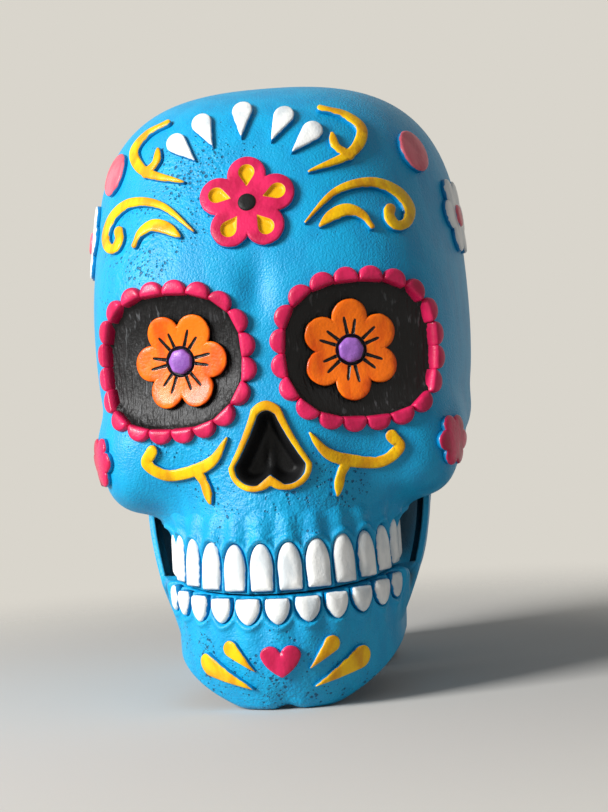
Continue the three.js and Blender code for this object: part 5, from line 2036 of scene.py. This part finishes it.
@dataclass
class LowerJaw:
    """The swinging lower jaw and its chin ornaments.

    The heart is its width, height and place; a drop is its place across, height, length, width and lean in
    degrees; sizes are a height and a rounding. The cap is the rounded rear end of a ramus. The dip and the
    groove are where the slot runs out, their places measured forwards from the ramus. The groove and the
    inner face of each ramus are painted with shade.
    """

    heart: Triple = (12.6, 10.2, 17)
    heart_size: Pair = (1.7, 0.7)
    inner: tuple[float, float, float, float, float] = (13.3, 18.6, 13.5, 5.4, 46)
    outer: tuple[float, float, float, float, float] = (20.4, 12.7, 23, 7.6, 66)
    drop_size: Pair = (1.6, 0.7)
    cleft: float = 1.4
    cleft_reach: float = 4
    bite_lap: float = 0.4
    climb: float = 1.4
    gum_margin: Pair = (9, 5)
    step: float = 0.55
    ramus_columns: int = 54
    rows: int = 84
    inner_rows: int = 20
    edge: float = 2.2
    cap: float = 3
    cap_columns: int = 9
    cap_least: float = 0.12
    dip: float = 3.5
    dip_place: float = 4.5
    dip_reach: float = 3
    groove: float = 1.1
    groove_place: float = 5
    groove_reach: float = 2.5
    groove_fade: Pair = (-8, -0.5)
    groove_shade: float = 0.85
    inside_shade: float = 0.8
    inside_start: float = 4

    def build(self) -> None:
        """Builds the casting, the heart and the four drops."""
        place(self.casting(), Body.JAW, Slot.BLUE, "lower_jaw")
        shape = relief(SHEET, Outline((heart(*self.heart),)), *self.heart_size, coarse=1.2)
        place(make_object("heart_paint", shape, PAINT["pink"]), Body.JAW, Slot.PINK, "chin_heart")
        for side, name in SIDES:
            for kind, (x, z, length, width, fan) in (("inner", self.inner), ("outer", self.outer)):
                ring = drop(side * x, z, length, width, math.pi / 2 - side * math.radians(fan))
                shape = relief(SHEET, Outline((ring,)), *self.drop_size, coarse=1.2)
                thing = make_object(f"chin_{kind}_paint_{name}", shape, PAINT["yellow"])
                place(thing, Body.JAW, Slot.YELLOW, f"chin_drop_{kind}_{name}")

    def foot(self, a: Array) -> Array:
        """Draws the lower border.

        Args:
            a: places along the jaw.

        Returns:
            The border's heights.
        """
        end = SHEET.along(JAW.hinge_y) + JAW.ramus_top
        rise = smooth_step(np.abs(a), JAW.chin_flat, SHEET.quarter)
        over = np.clip(np.abs(a) - (end - JAW.corner_radius), 0, JAW.corner_radius)
        corner = JAW.corner_radius - np.sqrt(JAW.corner_radius**2 - over**2)
        return JAW.corner_height * rise + corner + self.cleft * bell(a, self.cleft_reach)

    def crest(self, a: Array) -> Array:
        """Draws the upper border.

        Args:
            a: places along the jaw.

        Returns:
            The border's heights.
        """
        hinge, front = SHEET.along(JAW.hinge_y), SHEET.along(JAW.ramus_front)
        past = np.abs(a) - hinge
        round_top = JAW.hinge_z + np.sqrt(np.maximum(JAW.ramus_top**2 - past**2, 0))
        bite = MOUTH.lower_top + self.bite_lap + MOUTH.rise(a / SHEET.radius)
        share = np.clip((np.abs(a) - front) / (hinge - JAW.ramus_top - front), 0, 1)
        slope = bite + (JAW.hinge_z - bite) * share**self.climb
        return np.where(past > -JAW.ramus_top, round_top, slope)

    def gum(self, a: Array, b: Array) -> Array:
        """Returns the lift of the lower gum and its tooth pockets."""
        rise = b - (MOUTH.lower_top + MOUTH.rise(a / SHEET.radius))
        near = smooth_step(np.abs(a), *(LOWER_GUM.span() + margin for margin in self.gum_margin))
        return near * LOWER_GUM.lift(a, rise)

    def columns(self) -> Array:
        """Spaces the cross-sections along the jaw, closer at its rear ends.

        Returns:
            Their places, from end to end.
        """
        front = SHEET.along(JAW.ramus_front)
        end = SHEET.along(JAW.hinge_y) + JAW.ramus_top
        cap = end - self.cap * (1 - np.cos(np.linspace(math.pi / 2, 0, self.cap_columns)))
        ramus = np.linspace(front, end - self.cap, self.ramus_columns)
        half = np.concatenate([np.arange(0, front, self.step), ramus, cap[1:]])
        return np.concatenate([-half[:0:-1], half])

    def loops(self, index: Array) -> list[list[int]]:
        """Joins the cross-sections and closes both ends.

        Args:
            index: each point's number, by column and by place in its loop.

        Returns:
            The faces.
        """
        ahead = np.roll(index, -1, 1)
        faces = np.stack([index[:-1], index[1:], ahead[1:], ahead[:-1]], -1).reshape(-1, 4)
        caps = []
        for row, flip in ((index[0], False), (index[-1], True)):
            outer, back = row[: self.rows], row[self.rows :][::-1]
            pick = back[np.round(np.linspace(0, self.inner_rows - 1, self.rows)).astype(int)]
            quads = np.stack([outer[:-1], outer[1:], pick[1:], pick[:-1]], -1)
            caps.append(quads[:, ::-1] if flip else quads)
        return faces.tolist() + [list(dict.fromkeys(quad)) for quad in np.concatenate(caps).tolist()]

    def casting(self) -> Thing:
        """Builds the jaw as closed loops of its cross-section, set side by side.

        Returns:
            The jaw's object.
        """
        columns = self.columns()
        front = SHEET.along(JAW.ramus_front)
        share = np.concatenate([np.linspace(0, 1, self.rows), np.linspace(1, 0, self.inner_rows)])
        face = np.concatenate([np.ones(self.rows), np.zeros(self.inner_rows)])
        a, s = (g.ravel() for g in np.meshgrid(columns, share, indexing="ij"))
        outer = np.tile(face, len(columns))
        away = np.abs(a) - front
        low = self.foot(a)
        high = self.crest(a) - self.dip * bell(away + self.dip_place, self.dip_reach) * outer
        b = low + (high - low) * s
        wall = JAW.wall + (JAW.ramus_wall - JAW.wall) * smooth_step(np.abs(a), SHEET.quarter, front)
        near = np.minimum(b - low, high - b)
        tuck = self.edge - np.sqrt(self.edge**2 - (self.edge - np.clip(near, 0, self.edge)) ** 2)
        last = np.clip((np.abs(a) - (columns[-1] - self.cap)) / self.cap, 0, 1)
        thin = self.cap_least + (1 - self.cap_least) * np.sqrt(np.maximum(1 - last**2, 0))
        out = np.where(outer > 0, -tuck, -wall + tuck)
        gum = self.gum(a, b) * outer * (near > 0.2)
        # The groove is dented, and painted with shade below the slot.
        groove = bell(away + self.groove_place, self.groove_reach) * outer
        groove = groove * smooth_step(b - high, *self.groove_fade)
        out = -wall / 2 + (out + wall / 2) * thin + gum - self.groove * groove
        points = SHEET.land(a, b) + out[:, None] * SHEET.outward(a)
        # Painted shade: on the inner face of each ramus, and in the groove.
        inside = self.inside_shade * (outer < 1) * smooth_step(away, -self.inside_start, 0)
        faces = self.loops(np.arange(len(a)).reshape(len(columns), len(share)))
        dark = np.maximum(inside, self.groove_shade * groove)
        shape = Shape(points, faces, pits=pitting(points), painted_shade=dark)
        return make_object("jaw_casting", shape, PAINT["blue"])


@dataclass
class Teeth:
    """Both rows of teeth, each a row of copies of one tooth.

    The gap keeps a tooth clear of the biting edge. Wide and tall are the least and most change of a size.
    """

    side: float = 0.5
    rise: float = 1.7
    rounding: float = 2.6
    bed: float = 0.6
    gap: float = 0.25
    stand: float = 0.1
    seeds: tuple[int, int] = (7, 11)
    wide: Pair = (-0.05, 0.03)
    tall: Pair = (-0.04, 0.04)

    def build(self) -> None:
        """Builds the upper and the lower row."""
        upper = self.row("upper_teeth", ArchBand(), UPPER_GUM, MOUTH.upper_foot, self.seeds[0])
        place(upper, Body.SKULL, Slot.WHITE, "upper_tooth_row")
        lower = self.row("lower_teeth", SHEET, LOWER_GUM, MOUTH.lower_top, self.seeds[1])
        place(lower, Body.JAW, Slot.WHITE, "lower_tooth_row")

    def row(self, name: str, surface: Surface, gum: Gum, edge: float, seed: int) -> Thing:
        """Builds one row of teeth along an arch.

        Args:
            name: the row's name.
            surface: the arch.
            gum: the gum that holds the row, with the size and count of its teeth.
            edge: height of the biting edge.
            seed: where the row's unevenness starts.

        Returns:
            The row's object.
        """
        rng = np.random.default_rng(seed)
        upwards = math.copysign(1, gum.height)
        reach = 6
        lift = domed(self.side, self.rise, self.rounding)
        unit = relief(Flat(), Outline((tooth(gum.width, gum.height),)), lift=lift, coarse=1.0, fine=0.5)
        sink_foot(unit, np.array([0, 0, -self.bed]))
        spots = []
        for i in range(gum.count):
            a = np.array([i * gum.pitch - gum.span()])
            b = edge + upwards * self.gap + MOUTH.rise(a / MOUTH.radius)
            p, _ = surface.at(a, b)
            q, _ = surface.at(a, b + upwards * reach)
            up = unit_vector((q - p)[0] * upwards)
            turn = a[0] / MOUTH.radius
            right = np.array([math.cos(turn), math.sin(turn), 0])
            out = np.cross(right, up)
            scale = (1 + rng.uniform(*self.wide), 1 + rng.uniform(*self.tall), 1.0)
            spots.append(Spot(p[0] + self.stand * out, right, np.cross(out, right), scale))
        return copies(name, unit, spots, PAINT["white"])


@dataclass(frozen=True)
class Lamp:
    """One soft lamp.

    Attributes:
        name: its name.
        place: where it hangs, in metres.
        size: its width, in metres.
        power: its power, in watts.
    """

    name: str
    place: Triple
    size: float
    power: float


@dataclass
class Studio:
    """The floor, the light and the camera.

    The floor, the lamps and their aim are in metres. The camera is in millimetres and degrees: its scale is
    millimetres in one pixel at the target, a point on the upper jaw that shows at a pixel of the frame.
    """

    back: Colour = linear(217, 213, 204)
    ground: Colour = linear(196, 193, 188)
    floor_half: float = 1.2
    floor_roughness: float = 0.9
    floor_fade: Pair = (0.12, 0.42)
    around: Colour = (0.93, 0.96, 1.0, 1.0)
    around_strength: float = 0.2
    lamps: tuple[Lamp, ...] = (Lamp("key", (-0.9, -0.7, 0.58), 0.45, 26),
                               Lamp("fill", (0.5, -1.1, 0.5), 0.9, 0.5))
    aim: Triple = (0, -0.02, 0.11)
    distance: float = 600
    scale: float = 0.32
    yaw: float = -5.3
    roll: float = -3.9
    target: Triple = (0, -81, 77)
    shown: Pair = (270, 472)
    frame: Pair = (608, 812)
    sensor: float = 36

    def build(self) -> None:
        """Builds the stage round the skull."""
        self.floor()
        self.world()
        for lamp in self.lamps:
            self.hang(lamp)
        self.camera()
        bpy.context.scene.view_settings.view_transform = "Standard"

    def floor(self) -> None:
        """Makes a pale floor that fades into the background."""
        mesh = bpy.data.meshes.new("floor")
        r = self.floor_half
        mesh.from_pydata([(-r, -r, 0), (r, -r, 0), (r, r, 0), (-r, r, 0)], [], [(0, 1, 2, 3)])
        material = bpy.data.materials.new("floor")
        material.use_nodes = True
        tree = material.node_tree
        shader = tree.nodes["Principled BSDF"]
        shader.inputs["Base Color"].default_value = self.ground
        shader.inputs["Roughness"].default_value = self.floor_roughness
        where = tree.nodes.new("ShaderNodeTexCoord")
        length = tree.nodes.new("ShaderNodeVectorMath")
        length.operation = "LENGTH"
        fade = tree.nodes.new("ShaderNodeMapRange")
        fade.interpolation_type = "SMOOTHSTEP"
        near, far = self.floor_fade
        for name, value in (("From Min", near), ("From Max", far), ("To Min", 1.0), ("To Max", 0.0)):
            fade.inputs[name].default_value = value
        tree.links.new(where.outputs["Object"], length.inputs[0])
        tree.links.new(length.outputs["Value"], fade.inputs["Value"])
        tree.links.new(fade.outputs[0], shader.inputs["Alpha"])
        mesh.materials.append(material)
        floor = bpy.data.objects.new("floor", mesh)
        bpy.context.scene.collection.objects.link(floor)

    def world(self) -> None:
        """Makes a pale background, and a dimmer light from all round."""
        world = bpy.data.worlds.new("studio")
        world.use_nodes = True
        bpy.context.scene.world = world
        tree = world.node_tree
        seen = tree.nodes["Background"]
        seen.inputs[0].default_value = self.back
        around = tree.nodes.new("ShaderNodeBackground")
        around.inputs[0].default_value = self.around
        around.inputs[1].default_value = self.around_strength
        path = tree.nodes.new("ShaderNodeLightPath")
        shown = path.outputs["Is Camera Ray"]
        for kind in ("Is Glossy Ray", "Is Transmission Ray"):
            either = tree.nodes.new("ShaderNodeMath")
            either.operation = "MAXIMUM"
            tree.links.new(shown, either.inputs[0])
            tree.links.new(path.outputs[kind], either.inputs[1])
            shown = either.outputs[0]
        mix = tree.nodes.new("ShaderNodeMixShader")
        tree.links.new(shown, mix.inputs[0])
        tree.links.new(around.outputs[0], mix.inputs[1])
        tree.links.new(seen.outputs[0], mix.inputs[2])
        tree.links.new(mix.outputs[0], tree.nodes["World Output"].inputs[0])

    def hang(self, lamp: Lamp) -> None:
        """Adds a lamp that faces the skull.

        Args:
            lamp: the lamp to add.
        """
        data = bpy.data.lights.new(lamp.name, "AREA")
        data.size = lamp.size
        data.energy = lamp.power
        thing = bpy.data.objects.new(lamp.name, data)
        thing.location = lamp.place
        way = Vector(self.aim) - Vector(lamp.place)
        thing.rotation_euler = way.to_track_quat("-Z", "Y").to_euler()
        bpy.context.scene.collection.objects.link(thing)

    def camera(self) -> None:
        """Sets the camera where the photograph was taken from."""
        yaw, roll = math.radians(self.yaw), math.radians(self.roll)
        upright = np.array([0, 0, 1.0])
        forward = np.array([math.sin(yaw), math.cos(yaw), 0])
        right = math.cos(roll) * np.cross(forward, upright) + math.sin(roll) * upright
        up = np.cross(right, forward)
        focal = self.distance / self.scale
        across, down = (pixel - size / 2 for pixel, size in zip(self.shown, self.frame))
        spot = np.array(self.target) - self.distance * (forward + across / focal * right - down / focal * up)
        data = bpy.data.cameras.new("camera")
        data.sensor_fit = "VERTICAL"
        data.sensor_height = self.sensor
        data.lens = self.sensor * focal / self.frame[1]
        data.clip_start = 0.01
        camera = bpy.data.objects.new("camera", data)
        turn = Matrix(np.stack([right, up, -forward], -1).tolist()).to_4x4()
        camera.matrix_world = Matrix.Translation(Vector(spot * MM)) @ turn
        bpy.context.scene.collection.objects.link(camera)
        bpy.context.scene.camera = camera


def main() -> None:
    """Builds the skull and its stage, and reports each piece."""
    logging.basicConfig(level=logging.INFO)
    Cranium().build()
    for side, name in SIDES:
        EyeSocket(side, name).build()
        Scrolls(side, name).build()
    Nose().build()
    Forehead().build()
    LowerJaw().build()
    Teeth().build()
    Studio().build()


if __name__ == "__main__":
    main()
